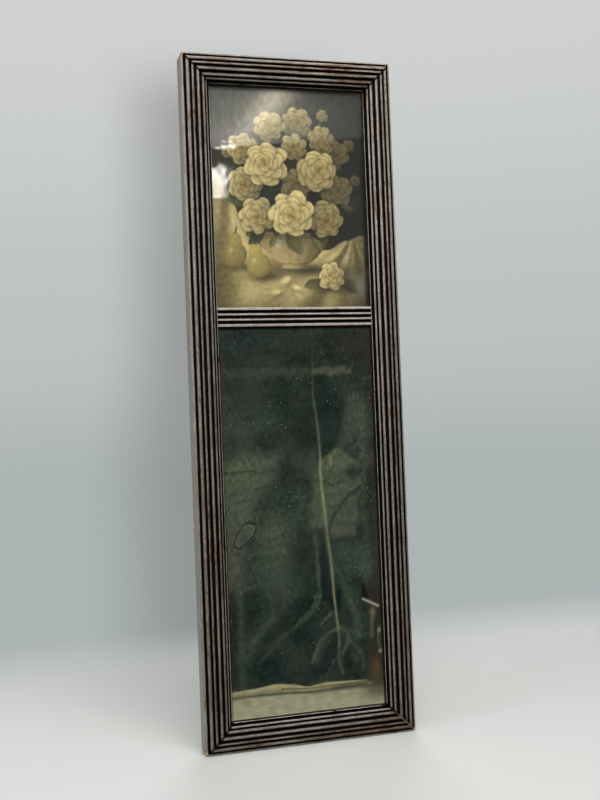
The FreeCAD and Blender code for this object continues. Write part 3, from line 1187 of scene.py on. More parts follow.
def lower_hull(points: np.ndarray) -> np.ndarray:
    """Find the lower side of the hull round points in a plane.

    Args:
        points: Rows of two.

    Returns:
        The hull's points from left to right.
    """
    rows = np.unique(np.round(points, 7), axis=0)
    hull: list[np.ndarray] = []
    for point in rows:
        while len(hull) > 1 and turn(hull[-2], hull[-1], point) <= 0:
            hull.pop()
        if not hull or point[0] > hull[-1][0]:
            hull.append(point)
    return np.array(hull)


def turn(first: np.ndarray, second: np.ndarray, third: np.ndarray) -> float:
    """Return a number above zero where three points turn to the left."""
    along, over = second - first, third - first
    return float(along[0] * over[1] - along[1] * over[0])


# Painting


def rough(points: np.ndarray, size: float, draw: np.random.Generator, count: int = 14) -> np.ndarray:
    """Give smooth random values about zero at many places.

    Args:
        points: One place in each row.
        size: How large the features are, in the places' unit.
        draw: Where the randomness comes from.
        count: How many waves are added up.

    Returns:
        One value for each place.
    """
    ways = draw.normal(size=(points.shape[1], count))
    ways *= 2 * math.pi / (size * draw.uniform(0.7, 1.6, count)) / np.linalg.norm(ways, axis=0)
    return np.sin(points @ ways + draw.uniform(0, 2 * math.pi, count)).sum(axis=1) / math.sqrt(count / 2)


def soft_step(value: np.ndarray) -> np.ndarray:
    """Return a smooth step from nothing at zero to full at one."""
    part = np.clip(value, 0.0, 1.0)
    return part * part * (3 - 2 * part)


def bell(value: np.ndarray) -> np.ndarray:
    """Return a bell that is one at zero and falls away to both sides."""
    return np.exp(-(value**2))


def as_light(colour: np.ndarray) -> np.ndarray:
    """Turn colours as seen into amounts of light."""
    seen = np.clip(colour, 0.0, 1.0)
    return np.where(seen < 0.04, seen / 12.92, ((seen + 0.055) / 1.055) ** 2.4)


class Canvas:
    """Paint laid softly over scattered places in millimetres, with colours as seen."""

    def __init__(self, x: np.ndarray, z: np.ndarray, seed: int, ground: Colour) -> None:
        """Start with one colour all over.

        Args:
            x: Each place's distance to the right.
            z: Each place's height.
            seed: Sets everything that is random.
            ground: The first colour.
        """
        self.x = x
        self.z = z
        self.draw = np.random.default_rng(seed)
        self.colour = np.tile(np.array(ground), (x.size, 1))

    def rough(self, size: float) -> np.ndarray:
        """Return smooth random values about zero with features of one size."""
        return rough(np.column_stack([self.x, self.z]), size, self.draw)

    def lay(self, mask: np.ndarray, tone: np.ndarray | Sequence[float]) -> None:
        """Lay a colour over the canvas where a mask is full."""
        cover = np.clip(mask, 0.0, 1.0)[:, None]
        self.colour = self.colour * (1 - cover) + np.asarray(tone) * cover

    def darken(self, mask: np.ndarray, share: float) -> None:
        """Darken the canvas by a share where a mask is full."""
        self.colour *= 1 - share * np.clip(mask, 0.0, 1.0)[:, None]

    def between(self, first: Colour, second: Colour, share: np.ndarray) -> np.ndarray:
        """Return colours between two, by a share for each place."""
        part = np.clip(share, 0.0, 1.0)[:, None]
        return np.array(first) * (1 - part) + np.array(second) * part

    def spot(self, x: float, z: float, half_x: float, half_z: float, lean: float = 0.0) -> np.ndarray:
        """Make the mask of a soft spot.

        Args:
            x: Its middle.
            z: Its middle.
            half_x: Half of its width.
            half_z: Half of its height.
            lean: How far it leans to the right, in degrees.

        Returns:
            One value for each place.
        """
        turn_by = math.radians(lean)
        across = (self.x - x) * math.cos(turn_by) - (self.z - z) * math.sin(turn_by)
        along = (self.x - x) * math.sin(turn_by) + (self.z - z) * math.cos(turn_by)
        return np.exp(-((across / half_x) ** 2) - (along / half_z) ** 2)

    def away(self, path: Sequence[Point]) -> np.ndarray:
        """Measure how far each place lies from a line.

        Args:
            path: The line's places in turn.

        Returns:
            One distance for each place.
        """
        nearest = np.full(self.x.size, np.inf)
        for (x0, z0), (x1, z1) in zip(path, path[1:]):
            length = math.hypot(x1 - x0, z1 - z0)
            along = ((self.x - x0) * (x1 - x0) + (self.z - z0) * (z1 - z0)) / length**2
            along = np.clip(along, 0.0, 1.0)
            off = np.hypot(self.x - x0 - along * (x1 - x0), self.z - z0 - along * (z1 - z0))
            nearest = np.minimum(nearest, off)
        return nearest

    def stroke(self, path: Sequence[Point], half: float) -> np.ndarray:
        """Return the mask of a soft stroke through a few places."""
        return bell(self.away(path) / half)

    def brush(self, share: float, tone: Colour, half: float, *path: Point) -> None:
        """Lay one soft stroke through a few places."""
        self.lay(share * self.stroke(path, half), tone)

    def fill(self, share: float, tone: Colour, soft: float, *corners: Point) -> None:
        """Lay one soft-edged patch between a few corners."""
        self.lay(share * self.patch(corners, soft), tone)

    def patch(self, corners: Sequence[Point], soft: float) -> np.ndarray:
        """Return the mask of a patch with straight sides and soft edges.

        Args:
            corners: Its corners in turn.
            soft: How wide its edge is.

        Returns:
            One value for each place.
        """
        inside = np.zeros(self.x.size, bool)
        closed = (*corners, corners[0])
        for (x0, z0), (x1, z1) in zip(closed, closed[1:]):
            slope = (x1 - x0) / (z1 - z0) if z1 != z0 else 0.0
            inside ^= ((z0 > self.z) != (z1 > self.z)) & (self.x < x0 + (self.z - z0) * slope)
        depth = np.where(inside, 1.0, -1.0) * self.away(closed)
        return soft_step(depth / soft + 0.5)


class StillLife(Canvas):
    """A soft still life: pale roses in a bowl, pears and a fallen rose on a draped cloth.

    Places are millimetres from the middle of the sheet.
    """

    ground: Colour = (0.150, 0.155, 0.130)
    ground_light: Colour = (0.265, 0.260, 0.205)
    cream: Colour = (0.790, 0.730, 0.520)
    shade: Colour = (0.335, 0.300, 0.185)
    leaf_dark: Colour = (0.170, 0.180, 0.110)
    leaf_light: Colour = (0.430, 0.430, 0.265)
    clay: Colour = (0.640, 0.570, 0.405)
    pear: Colour = (0.660, 0.605, 0.345)
    gleam: Colour = (0.86, 0.83, 0.70)
    gold: Colour = (0.640, 0.500, 0.270)
    warmth: Triple = (1.02, 0.955, 0.965)
    hidden_share: float = 0.72
    hidden_slope: float = 0.0016
    shadow_top: float = 82.0
    shadow_deep: float = 4.0
    shadow_right: float = 58.8
    shadow_wide: float = 3.0
    petal_rings: tuple[tuple[int, float, float, float], ...] = (
        (7, 0.64, 0.38, 0.40),
        (6, 0.47, 0.34, 0.36),
        (5, 0.31, 0.28, 0.30),
        (4, 0.17, 0.21, 0.22),
        (2, 0.06, 0.13, 0.14),
    )

    def __init__(self, x: np.ndarray, z: np.ndarray, seed: int = 11) -> None:
        """Start with the dark ground and a slightly wandering hand.

        Args:
            x: Each place's distance to the right.
            z: Each place's height.
            seed: Sets everything that is random.
        """
        super().__init__(x, z, seed, self.ground)
        self.rim = np.maximum(np.abs(x) / 66, np.abs(z) / 90)
        self.grain = 0.016 * self.draw.normal(size=x.size) + 0.020 * self.rough(4)
        self.x = x + 0.35 * self.rough(17) + 0.06 * self.rough(4)
        self.z = z + 0.35 * self.rough(17) + 0.06 * self.rough(4)

    def paint(self) -> np.ndarray:
        """Paint the whole picture.

        Returns:
            The print's own colours, one row of four for each place.
        """
        glow = self.spot(-26, 20, 52, 60) + 0.09 * self.rough(26) + 0.05 * self.rough(8)
        self.lay(np.ones(self.x.size), self.between(self.ground, self.ground_light, glow))
        self.cloth()
        self.bowl(2, -57)
        self.bouquet(1, 8)
        self.fruit()
        self.fallen_rose()
        self.colour *= (1 + self.grain)[:, None]
        self.darken(np.clip((self.rim - 0.70) / 0.30, 0, 1) ** 2, 0.30)
        self.darken(soft_step((self.x - 26) / 34), 0.34)
        self.darken(soft_step((self.z - self.shadow_top) / self.shadow_deep), 0.90)
        self.darken(soft_step((self.x - self.shadow_right) / self.shadow_wide), 0.70)
        share = self.hidden_share * (1 + self.hidden_slope * self.z)
        light = as_light(self.colour) * np.array(self.warmth) / share[:, None]
        return np.column_stack([np.clip(light, 0, 0.92), np.ones(len(light))])

    def cloth_height(self, x: np.ndarray, z: np.ndarray) -> np.ndarray:
        """Give the cloth's relief: folds that fan out from two gathered points.

        Args:
            x: Each place's distance to the right.
            z: Each place's height.

        Returns:
            One height for each place.
        """
        total = 1.3 * np.sin(x / 13 + z / 21)
        gathers = ((-50, 26, 11, 0.4, 0.085), (52, -28, 9, 2.1, 0.070))
        for point_x, point_z, folds, phase, depth in gathers:
            reach = np.hypot(x - point_x, z - point_z)
            angle = np.arctan2(z - point_z, x - point_x)
            pleats = np.cos(folds * angle + phase + 0.9 * np.sin(3 * angle))
            pleats += 0.45 * np.cos(19 * angle + 2 * phase)
            total += depth * reach * pleats * np.exp(-reach / 75)
        return total

    def cloth(self) -> None:
        """Paint the draped cloth, heaped up at the left and falling to the front."""
        heap = 60 * bell((self.x + 60) / 20)
        heap += 12 * bell((self.x - 60) / 16)
        top = -40 + heap + 1.6 * np.sin(self.x / 6 + 1) + 0.8 * np.sin(self.x / 2.9)
        mask = soft_step((top - self.z) / 2)
        step = 0.6
        lift = self.cloth_height(self.x - step, self.z + step)
        lift -= self.cloth_height(self.x + step, self.z - step)
        fall = np.clip((top - self.z) / 70, 0, 1)
        tone = 0.70 - 0.22 * fall - 0.36 * np.tanh(lift * 1.3) + 0.03 * self.rough(6)
        tone += 0.12 * self.spot(-34, -30, 26, 22)
        self.lay(mask, self.between(self.shade, self.cream, tone))
        self.lay(0.35 * bell((top - self.z - 1.8) / 1.6) * mask, self.cream)

    def bowl(self, x: float, z: float) -> None:
        """Paint the wide ribbed bowl.

        Args:
            x: Its middle.
            z: The height of its foot.
        """
        rise = (self.z - z) / 29
        wide = 9 + 22 * np.sin(np.clip((rise - 0.10) / 0.95, 0, 1) * math.pi / 2) ** 0.75
        wide = np.where(rise < 0.13, 12 - 22 * np.clip(rise, 0, 0.13), wide)
        off = np.clip((self.x - x) / wide, -1, 1)
        self.darken(self.spot(x + 12, z - 1, 30, 5), 0.62)
        mask = soft_step(wide - np.abs(self.x - x)) * soft_step((rise + 0.01) * 20) * (rise < 1)
        facing = np.sqrt(1 - off**2)
        light = 0.20 - 0.42 * off + 0.50 * facing + 0.10 * (rise - 0.5)
        light += 0.07 * np.cos(15 * np.arcsin(off)) * (rise > 0.16) * (rise < 0.82)
        self.lay(mask, self.between(self.shade, self.clay, light * 1.25))
        self.lay(0.5 * self.spot(x - 13, z + 19, 3, 4.5, 25) * mask, self.gleam)
        for level in (0.15, 0.84, 0.90):
            self.darken(bell((rise - level) / 0.014) * mask, 0.30)

    def bloom(self, x: float, z: float, radius: float, tone: float, face: float) -> None:
        """Paint a full rose, petal by petal from the outside to its heart.

        Args:
            x: Its middle.
            z: Its middle.
            radius: Its radius.
            tone: How light it is.
            face: The way that its heart leans, in degrees.
        """
        self.darken(self.spot(x + 0.22 * radius, z - 0.28 * radius, radius * 1.15, radius * 1.1), 0.50)
        round_light = 0.26 * (-0.55 * (self.x - x) + 0.75 * (self.z - z)) / radius
        for count, out, half_long, half_wide in self.petal_rings:
            start = self.draw.uniform(0, 2 * math.pi)
            shift = 0.20 * radius * (1 - out)
            heart_x = x + shift * math.cos(math.radians(face))
            heart_z = z + shift * math.sin(math.radians(face))
            for index in range(count):
                way = start + 2 * math.pi * (index + self.draw.uniform(-0.12, 0.12)) / count
                middle = radius * out * self.draw.uniform(0.94, 1.06)
                off_x = self.x - heart_x - middle * math.cos(way)
                off_z = self.z - heart_z - middle * math.sin(way)
                along = (off_x * math.cos(way) + off_z * math.sin(way)) / (half_long * radius)
                across = (off_z * math.cos(way) - off_x * math.sin(way)) / (half_wide * radius)
                self.petal(along, across, half_wide * radius, tone - 0.10 * (0.64 - out), round_light)
        self.lay(0.34 * self.spot(heart_x, heart_z, 0.42 * radius, 0.42 * radius), self.gold)
        self.darken(self.spot(heart_x, heart_z, 0.12 * radius, 0.12 * radius), 0.25)

    def petal(
        self, along: np.ndarray, across: np.ndarray, half: float, tone: float, round_light: np.ndarray
    ) -> None:
        """Paint one petal with its own soft shadow.

        Args:
            along: How far out each place lies, from minus one at its base to one at its lip.
            across: How far to its side each place lies.
            half: Half of its width.
            tone: How light it is.
            round_light: The light on the whole rose.
        """
        swing = self.draw.uniform(-0.12, 0.12)
        phase = self.draw.uniform(0, 6.3)
        across = across + swing * along
        angle = np.arctan2(across, along)
        reach = np.hypot(along, across) * (1 + 0.045 * np.sin(3 * angle + phase) + 0.02 * np.sin(7 * angle))
        self.darken(bell(np.maximum(reach - 0.95, 0) / 0.26), 0.17)
        lip = bell((reach - 0.84) / 0.15) * soft_step(along * 1.4 + 0.2)
        light = tone + round_light + 0.22 * along - 0.09 * across**2 + 0.07 * lip
        self.lay(soft_step((1 - reach) * half / 1.4 + 0.3), self.between(self.shade, self.cream, light))

    def leaf(self, x: float, z: float, angle: float, length: float, tone: float) -> None:
        """Paint one pointed leaf with its midrib.

        Args:
            x: Its stalk end.
            z: Its stalk end.
            angle: The way it points, in radians.
            length: Its length.
            tone: How light it is.
        """
        far = ((self.x - x) * math.cos(angle) + (self.z - z) * math.sin(angle)) / length
        off = (-(self.x - x) * math.sin(angle) + (self.z - z) * math.cos(angle)) / length
        off = off - self.draw.uniform(-0.35, 0.35) * far * (1 - far)
        wide = 0.25 * np.sin(np.clip(far, 0, 1) * math.pi) ** 0.85
        mask = soft_step((wide - np.abs(off)) * length / 1.1) * (far > 0) * (far < 1)
        rib = bell(off * length / 0.5)
        light = tone + 0.16 * np.tanh(off * 30) + 0.14 * rib + 0.06 * np.sin((far + np.abs(off)) * 24)
        self.lay(mask * 0.85, self.between(self.leaf_dark, self.leaf_light, light))

    def bouquet(self, x: float, z: float) -> None:
        """Paint the stems, buds and leaves, and then the roses.

        Args:
            x: The bouquet's middle.
            z: The bouquet's middle.
        """
        buds = ((28, 58), (50, 34), (54, 6), (-50, 26))
        for off_x, off_z in buds:
            far, near = (x + off_x, z + off_z), (x + off_x * 0.8, z + off_z * 0.6)
            self.brush(0.8, self.leaf_light, 0.8, (x + off_x * 0.3, z), near, far)
        for index in range(40):
            angle = 2 * math.pi * index / 40 + self.draw.uniform(-0.12, 0.12)
            start = 27 + self.draw.uniform(-5, 7)
            self.leaf(
                x + start * math.cos(angle) * 1.05,
                z + start * math.sin(angle) * 1.05,
                angle + self.draw.uniform(-0.7, 0.7),
                self.draw.uniform(13, 24),
                self.draw.uniform(0.10, 0.75),
            )
        for off_x, off_z in buds:
            self.bloom(x + off_x, z + off_z, 5, 0.50, 100)
        roses = (
            (36, 26, 12.5, 0.40, 30),
            (7, 50, 13, 0.52, 80),
            (-16, 47, 13, 0.62, 110),
            (-37, 29, 13, 0.60, 150),
            (-36, 2, 14.5, 0.66, 200),
            (37, -1, 13.5, 0.46, -20),
            (26, 38, 11.5, 0.44, 50),
            (4, 31, 11, 0.56, 90),
            (3, 1, 13, 0.62, 40),
            (-27, -22, 15, 0.68, 230),
            (27, -24, 15, 0.58, 300),
            (21, 13, 17, 0.66, 20),
            (-18, 17, 18, 0.76, 150),
            (0, -20, 18.5, 0.78, 260),
        )
        for off_x, off_z, radius, tone, face in roses:
            self.bloom(x + off_x, z + off_z, radius, tone, face)
        sprigs = ((-13, -38, 4.2, 13), (16, -39, -0.9, 15), (41, -14, -0.3, 12))
        for off_x, off_z, angle, length in sprigs:
            self.leaf(x + off_x, z + off_z, angle, length, 0.62)

    def fruit(self) -> None:
        """Paint two pears at the left."""
        for x, z, lean, tone in ((-46, -46, 0.8, 0.56), (-27, -54, -2.4, 0.68)):
            self.darken(self.spot(x + 7, z - 9.5, 14, 3.6), 0.5)
            body = np.hypot((self.x - x) / 10.5, (self.z - z) / 10)
            neck = np.hypot((self.x - x - lean) / 5.6, (self.z - z - 10.5) / 7.2)
            reach = -np.log(np.exp(-7 * body) + np.exp(-7 * neck)) / 7
            light = tone + 0.30 * (-0.5 * (self.x - x) + 0.6 * (self.z - z)) / 10.5 - 0.26 * reach**3
            light += 0.03 * self.rough(5)
            self.lay(soft_step((1 - reach) * 9), self.between(self.shade, self.pear, light))
            self.lay(0.35 * self.spot(x - 3.6, z + 3.4, 1.7, 2.6, 20), self.gleam)
            self.brush(0.9, self.leaf_dark, 0.6, (x + lean, z + 17), (x + lean * 1.8 + 0.8, z + 21.5))

    def fallen_rose(self) -> None:
        """Paint a fallen rose with two leaves and some petals at the front."""
        self.darken(self.spot(36, -70, 20, 5), 0.45)
        self.leaf(24, -66, 3.5, 17, 0.45)
        self.leaf(40, -70, -0.35, 17, 0.55)
        self.bloom(33, -63, 11.5, 0.68, 150)
        for x, z, lean in ((-6, -66, 60), (3, -72, 110), (-14, -75, 80)):
            self.darken(self.spot(x + 1.2, z - 1.4, 4.6, 2.6, lean - 90), 0.35)
            self.lay(self.spot(x, z, 2, 4.2, lean) * 1.4, self.cream)


class ReflectedRoom(Canvas):
    """The dim room in the mirror plate: dark cloth with a hanging cord above a pale ledge.

    Places are millimetres on the plate as the camera sees them.
    """

    cloth: Colour = (0.158, 0.198, 0.168)
    cloth_dark: Colour = (0.108, 0.146, 0.128)
    cloth_deep: Colour = (0.070, 0.106, 0.108)
    cloth_blue: Colour = (0.170, 0.205, 0.195)
    cloth_haze: Colour = (0.262, 0.300, 0.250)
    cloth_light: Colour = (0.265, 0.312, 0.255)
    cloth_pale: Colour = (0.330, 0.365, 0.288)
    cloth_lit: Colour = (0.345, 0.365, 0.283)
    wall: Colour = (0.245, 0.225, 0.195)
    wall_dark: Colour = (0.115, 0.112, 0.092)
    wall_light: Colour = (0.325, 0.320, 0.275)
    brown: Colour = (0.185, 0.165, 0.135)
    strip: Colour = (0.345, 0.345, 0.275)
    cord: Colour = (0.575, 0.560, 0.430)
    cord_dim: Colour = (0.40, 0.415, 0.345)
    ledge: Colour = (0.590, 0.588, 0.475)
    ledge_dull: Colour = (0.500, 0.500, 0.395)
    ledge_end: Colour = (0.250, 0.240, 0.175)
    hem: Colour = (0.600, 0.575, 0.435)
    hem_dull: Colour = (0.33, 0.33, 0.25)
    hem_shade: Colour = (0.215, 0.235, 0.185)
    straw: Colour = (0.46, 0.44, 0.31)
    rust: Colour = (0.37, 0.255, 0.160)
    gleam: Colour = (0.70, 0.69, 0.62)
    night: Colour = (0.085, 0.075, 0.062)

    def __init__(self, x: np.ndarray, z: np.ndarray, seed: int = 5) -> None:
        """Start with the plain cloth.

        Args:
            x: Each place's distance to the right.
            z: Each place's height.
            seed: Sets everything that is random.
        """
        super().__init__(x, z, seed, self.cloth)

    def paint(self) -> np.ndarray:
        """Paint the whole room.

        Returns:
            Its colours as light, one row of four for each place.
        """
        self.backdrop()
        steady = self.x, self.z
        self.x = self.x + 0.35 * self.rough(14) + 0.10 * self.rough(4)
        self.z = self.z + 0.35 * self.rough(14) + 0.10 * self.rough(4)
        self.upper_haze()
        self.upper_folds()
        self.lower_folds()
        self.weave()
        self.x, self.z = steady
        self.hanging_cord()
        self.right_side()
        self.ledge_and_hem()
        light = as_light(self.colour)
        return np.column_stack([light, np.ones(len(light))])

    def backdrop(self) -> None:
        """Paint the cloth's soft unevenness."""
        uneven = 0.72 + 0.18 * self.rough(60) + 0.16 * self.rough(22) + 0.16 * self.rough(8)
        self.lay(np.ones(self.x.size), self.between(self.cloth_dark, self.cloth, uneven))
        self.lay(0.22 * soft_step(self.rough(34) - 0.2), self.cloth_light)

    def weave(self) -> None:
        """Roughen all that is painted so far with upright brush marks and small stains."""
        upright = rough(np.column_stack([self.x, self.z * 0.3]), 2.6, self.draw)
        marks = 0.055 * upright + 0.045 * self.rough(5) + 0.040 * self.rough(2.2)
        marks += 0.035 * self.rough(1.4)
        stains = soft_step(self.rough(9) - 1.1) * soft_step(1 + self.rough(3))
        self.lay(0.30 * stains, self.cloth_deep)
        self.colour *= (1 + marks)[:, None]

    def spots(self, *rows: tuple[float | Colour, ...]) -> None:
        """Lay soft spots, each given by its share, tone, place, half sizes and perhaps a lean."""
        for share, tone, *shape in rows:
            self.lay(share * self.spot(*shape), tone)

    def upper_haze(self) -> None:
        """Paint the paler bands along the sides and across the top."""
        self.fill(0.45, self.cloth_haze, 5, (-66, 293.5), (11, 292.5), (11, 286.5), (-66, 285.5))
        self.fill(
            0.72, self.strip, 3.6, (12, 292), (31, 293), (45.5, 292.5), (45.5, 286.5), (26, 285.5),
            (12, 286.8),
        )
        self.brush(0.65, self.wall, 4, (-62, 330), (-60.5, 30))
        self.brush(0.55, self.brown, 4, (58.5, 330), (58.5, 120))
        self.spots(
            (0.50, self.brown, 50, 312, 26, 16),
            (0.45, self.cloth_blue, -45, 313, 26, 13),
            (0.60, self.wall_dark, -20.7, 305, 8, 3.4),
            (0.60, self.wall_dark, 26, 301, 7, 3),
            (0.50, self.cloth_light, -50, 247, 15, 14),
            (0.36, self.cloth_light, -26, 252, 11, 12),
            (0.55, self.brown, -28, 235, 4.5, 8, 40),
            (0.60, self.cloth_deep, -41, 254, 2.2, 1.8),
            (0.60, self.cloth_deep, 5.5, 281, 1.8, 2),
            (0.60, self.cloth_deep, 16, 280, 1.6, 1.8),
            (0.45, self.cloth_dark, -3, 250, 14, 26),
            (0.45, self.cloth_deep, 23, 250, 8, 20),
        )

    def upper_folds(self) -> None:
        """Paint the pale folds and hollows of the cloth's upper half."""
        self.fill(
            0.68, self.cloth_pale, 15, (-66, 214), (-47, 226), (-14, 226), (-20, 207), (-34, 193),
            (-43, 172), (-60, 158),
        )
        self.spots(
            (0.55, self.cloth_lit, -47, 213, 13, 13),
            (0.70, self.cloth_pale, -24, 163, 18, 19),
            (0.60, self.cloth_light, -24, 130, 17, 20),
            (0.45, self.cloth_light, 0, 219, 9, 8),
            (0.45, self.cloth_light, -1, 190, 7, 15),
        )
        self.brush(0.60, self.cloth_dark, 0.7, (-64, 212.6), (-38, 212.3), (-18, 212))
        self.brush(0.30, self.cloth_dark, 0.8, (-18, 212), (8, 211.5))
        self.fill(
            0.70, self.cloth_haze, 9, (41, 262), (44, 274), (51, 266), (58, 262), (58, 238), (46, 227),
            (29, 226), (35, 242),
        )
        for place in (38, 41.5, 45.5, 49, 53):
            self.brush(
                0.40, self.cloth_pale, 0.8, (place, 272), (place + 1.5, 258), (place - 2, 244)
            )
        self.brush(0.70, self.cloth_deep, 1.1, (36, 227.5), (41, 229.5), (47, 233))
        self.fill(0.55, self.cloth_haze, 2.4, (3, 216), (9.5, 228.5), (13, 229), (13.5, 205), (8, 200))
        self.fill(
            0.82, self.cloth_lit, 3.2, (15.5, 218.5), (21, 222), (30, 229), (47, 216), (46, 212),
            (15.5, 212),
        )
        self.spots((0.60, self.wall_light, 53, 219, 7, 9))
        self.fill(
            0.62, self.cloth_pale, 7, (15, 216), (46, 216), (50, 199), (49, 168), (38, 164), (28, 160),
            (18, 166), (3.5, 163), (8.5, 200),
        )
        self.spots((0.40, self.cloth_lit, 28, 194, 10, 13, 30))
        self.spots((0.70, self.cloth_dark, 42.7, 208.3, 4.8, 6))
        self.brush(0.75, self.cloth_dark, 1, (51, 199), (38, 188.5), (26, 176))
        self.brush(0.55, self.cloth_deep, 1.4, (26, 176), (20.5, 163))
        self.brush(0.70, self.cloth_dark, 1, (47.4, 190), (47.3, 150))
        self.fill(0.62, self.strip, 2.6, (22, 166), (44, 165), (44.5, 157.5), (22.5, 157))
        self.brush(0.45, self.cloth_lit, 2.2, (13, 196), (20, 186), (15, 172))
        self.brush(0.40, self.cloth_dark, 1.2, (12, 203), (26, 198), (34, 203))
        self.fill(0.45, self.cloth_light, 4, (24, 152), (48, 154), (50, 128), (34, 122))
        self.brush(0.45, self.cloth_light, 2.4, (51, 262), (52, 125))

    def lower_folds(self) -> None:
        """Paint the pale folds and hollows of the cloth's lower half."""
        self.lay(0.30 * soft_step((122 - self.z) / 40), self.cloth_dark)
        self.spots(
            (0.80, self.wall_light, -55, 141, 8, 22),
            (0.50, self.cloth_haze, 51, 130, 6, 14),
        )
        self.brush(0.50, self.cloth_haze, 3, (-51.5, 122), (-53, 48))
        self.brush(0.60, self.wall_dark, 3, (-59.5, 118), (-59.5, 50))
        self.fill(0.75, self.cloth_dark, 6, (-50, 118), (-38, 120), (-36, 104), (-44, 92), (-50, 90))
        self.spots(
            (0.60, self.cloth_deep, -30.7, 84, 6, 5),
            (0.45, self.cloth_deep, -34, 62, 16, 8),
            (0.50, self.cloth_dark, 0, 150, 8, 13),
            (0.55, self.cloth_deep, 1, 108, 8, 12, 20),
        )
        self.fill(
            0.88, self.cloth_deep, 2.2, (16, 158), (12.5, 140), (11.8, 122), (14.5, 109), (21, 101),
            (28, 98.5), (29.5, 115), (23.5, 117), (20, 140),
        )
        self.brush(0.60, self.cloth_pale, 1.2, (9.5, 160), (10.5, 140), (11, 121.5))
        self.fill(
            0.58, self.cloth_light, 2.4, (11.5, 122), (13.6, 112), (9.5, 103), (1.5, 95.5), (-11, 87),
            (-12.5, 88.5), (-2, 99), (5.5, 107), (9, 116),
        )
        self.brush(0.35, self.cloth_light, 2, (-12, 88), (-24, 80), (-40, 64))
        self.brush(0.50, self.cloth_light, 1.3, (-50, 149), (-34, 149.2), (-16, 149.4))
        self.spots((0.85, self.cord_dim, -15, 149.3, 1.5, 1.2))
        self.brush(0.36, self.cloth_light, 2, (-32, 130), (-28, 112), (-27, 98))
        self.brush(0.40, self.cloth_light, 2.4, (-17, 108), (-33, 92), (-47, 78))
        self.brush(0.35, self.cloth_light, 3.2, (-30, 96), (-44, 76), (-48, 66))
        self.brush(0.50, self.cloth_light, 2.4, (26.5, 134), (32.5, 116), (39, 98), (43, 78))
        self.fill(0.30, self.cloth_light, 4, (31, 117), (44, 117), (45, 82), (40, 90))
        self.fill(
            0.55, self.cloth_deep, 3, (2, 62), (8.5, 74), (17, 82), (26, 84), (24.5, 62), (19, 52),
            (4, 48),
        )
        self.brush(
            0.70, self.cloth_pale, 1.2, (4, 61), (6.5, 69.5), (12, 77.5), (19, 83.2), (28, 86.4),
            (33, 82), (34, 75), (28, 66.5),
        )
        self.brush(0.50, self.cloth_haze, 2.4, (6, 60), (9, 68.5), (15, 76.5))
        self.fill(0.55, self.cloth_light, 2.2, (34.5, 86), (41, 83), (44.5, 77), (38, 78))
        self.brush(0.60, self.cloth_light, 1.5, (34.5, 75), (41.5, 68), (45, 60), (45, 51))
        self.spots((0.55, self.cloth_haze, 37, 61, 5, 5))
        self.fill(0.60, self.cloth_deep, 2.2, (29, 62), (33, 68), (38.5, 58), (31, 50))
        self.brush(0.50, self.cloth_light, 1, (15, 50), (20, 58), (22.5, 62))
        self.brush(0.65, self.cloth_pale, 0.9, (11.5, 90.5), (20.5, 98.5))

    def hanging_cord(self) -> None:
        """Paint the pale cord that hangs before the cloth, fainter towards its ends."""
        upper = ((12.4, 318), (12.9, 296), (11.9, 270), (14, 254), (15.5, 236))
        middle = ((15.5, 236), (16, 224), (15.5, 209), (16.6, 194), (18.4, 173), (19.5, 158))
        lower = ((21.2, 143), (22.3, 126), (23, 112), (24.6, 92), (26, 80))
        fade = soft_step((self.z - 236) / 82)
        self.lay(self.stroke(upper, 0.8) * (0.85 - 0.72 * fade), self.cord_dim)
        weaker = 0.92 - 0.35 * soft_step((112 - self.z) / 36)
        weaker -= 0.55 * soft_step((self.z - 212) / 34)
        self.lay(self.stroke((*middle, *lower, (25.6, 72)), 0.80) * weaker, self.cord)
        self.brush(0.50, self.cord_dim, 1, (25.6, 72), (24.6, 64), (26.2, 57), (27.8, 50))
        self.brush(0.85, self.straw, 1.3, (24.6, 221), (24.6, 215))

    def right_side(self) -> None:
        """Paint the small bright and brown things low at the right."""
        self.fill(0.70, self.brown, 5, (51, 118), (66, 135), (66, 38), (47.5, 40), (49, 70))
        self.fill(0.85, self.night, 1.4, (46.3, 119), (48.5, 120), (51.5, 106), (46.5, 106))
        self.brush(0.95, self.gleam, 0.8, (46.8, 107), (59.5, 100.4))
        self.spots((0.85, self.straw, 54.6, 96, 2.3, 4.4))
        self.brush(0.60, self.cord_dim, 1.4, (53.6, 91), (53.2, 77))
        self.spots((0.85, self.rust, 55.5, 52, 3.6, 7.5))
        self.brush(0.60, self.cord_dim, 0.7, (59.2, 84), (58.4, 72), (59.6, 66))
        self.spots(
            (0.75, self.gleam, 59.4, 81, 0.9, 2),
            (0.95, self.gleam, 59.8, 64.5, 1.2, 1.2),
        )

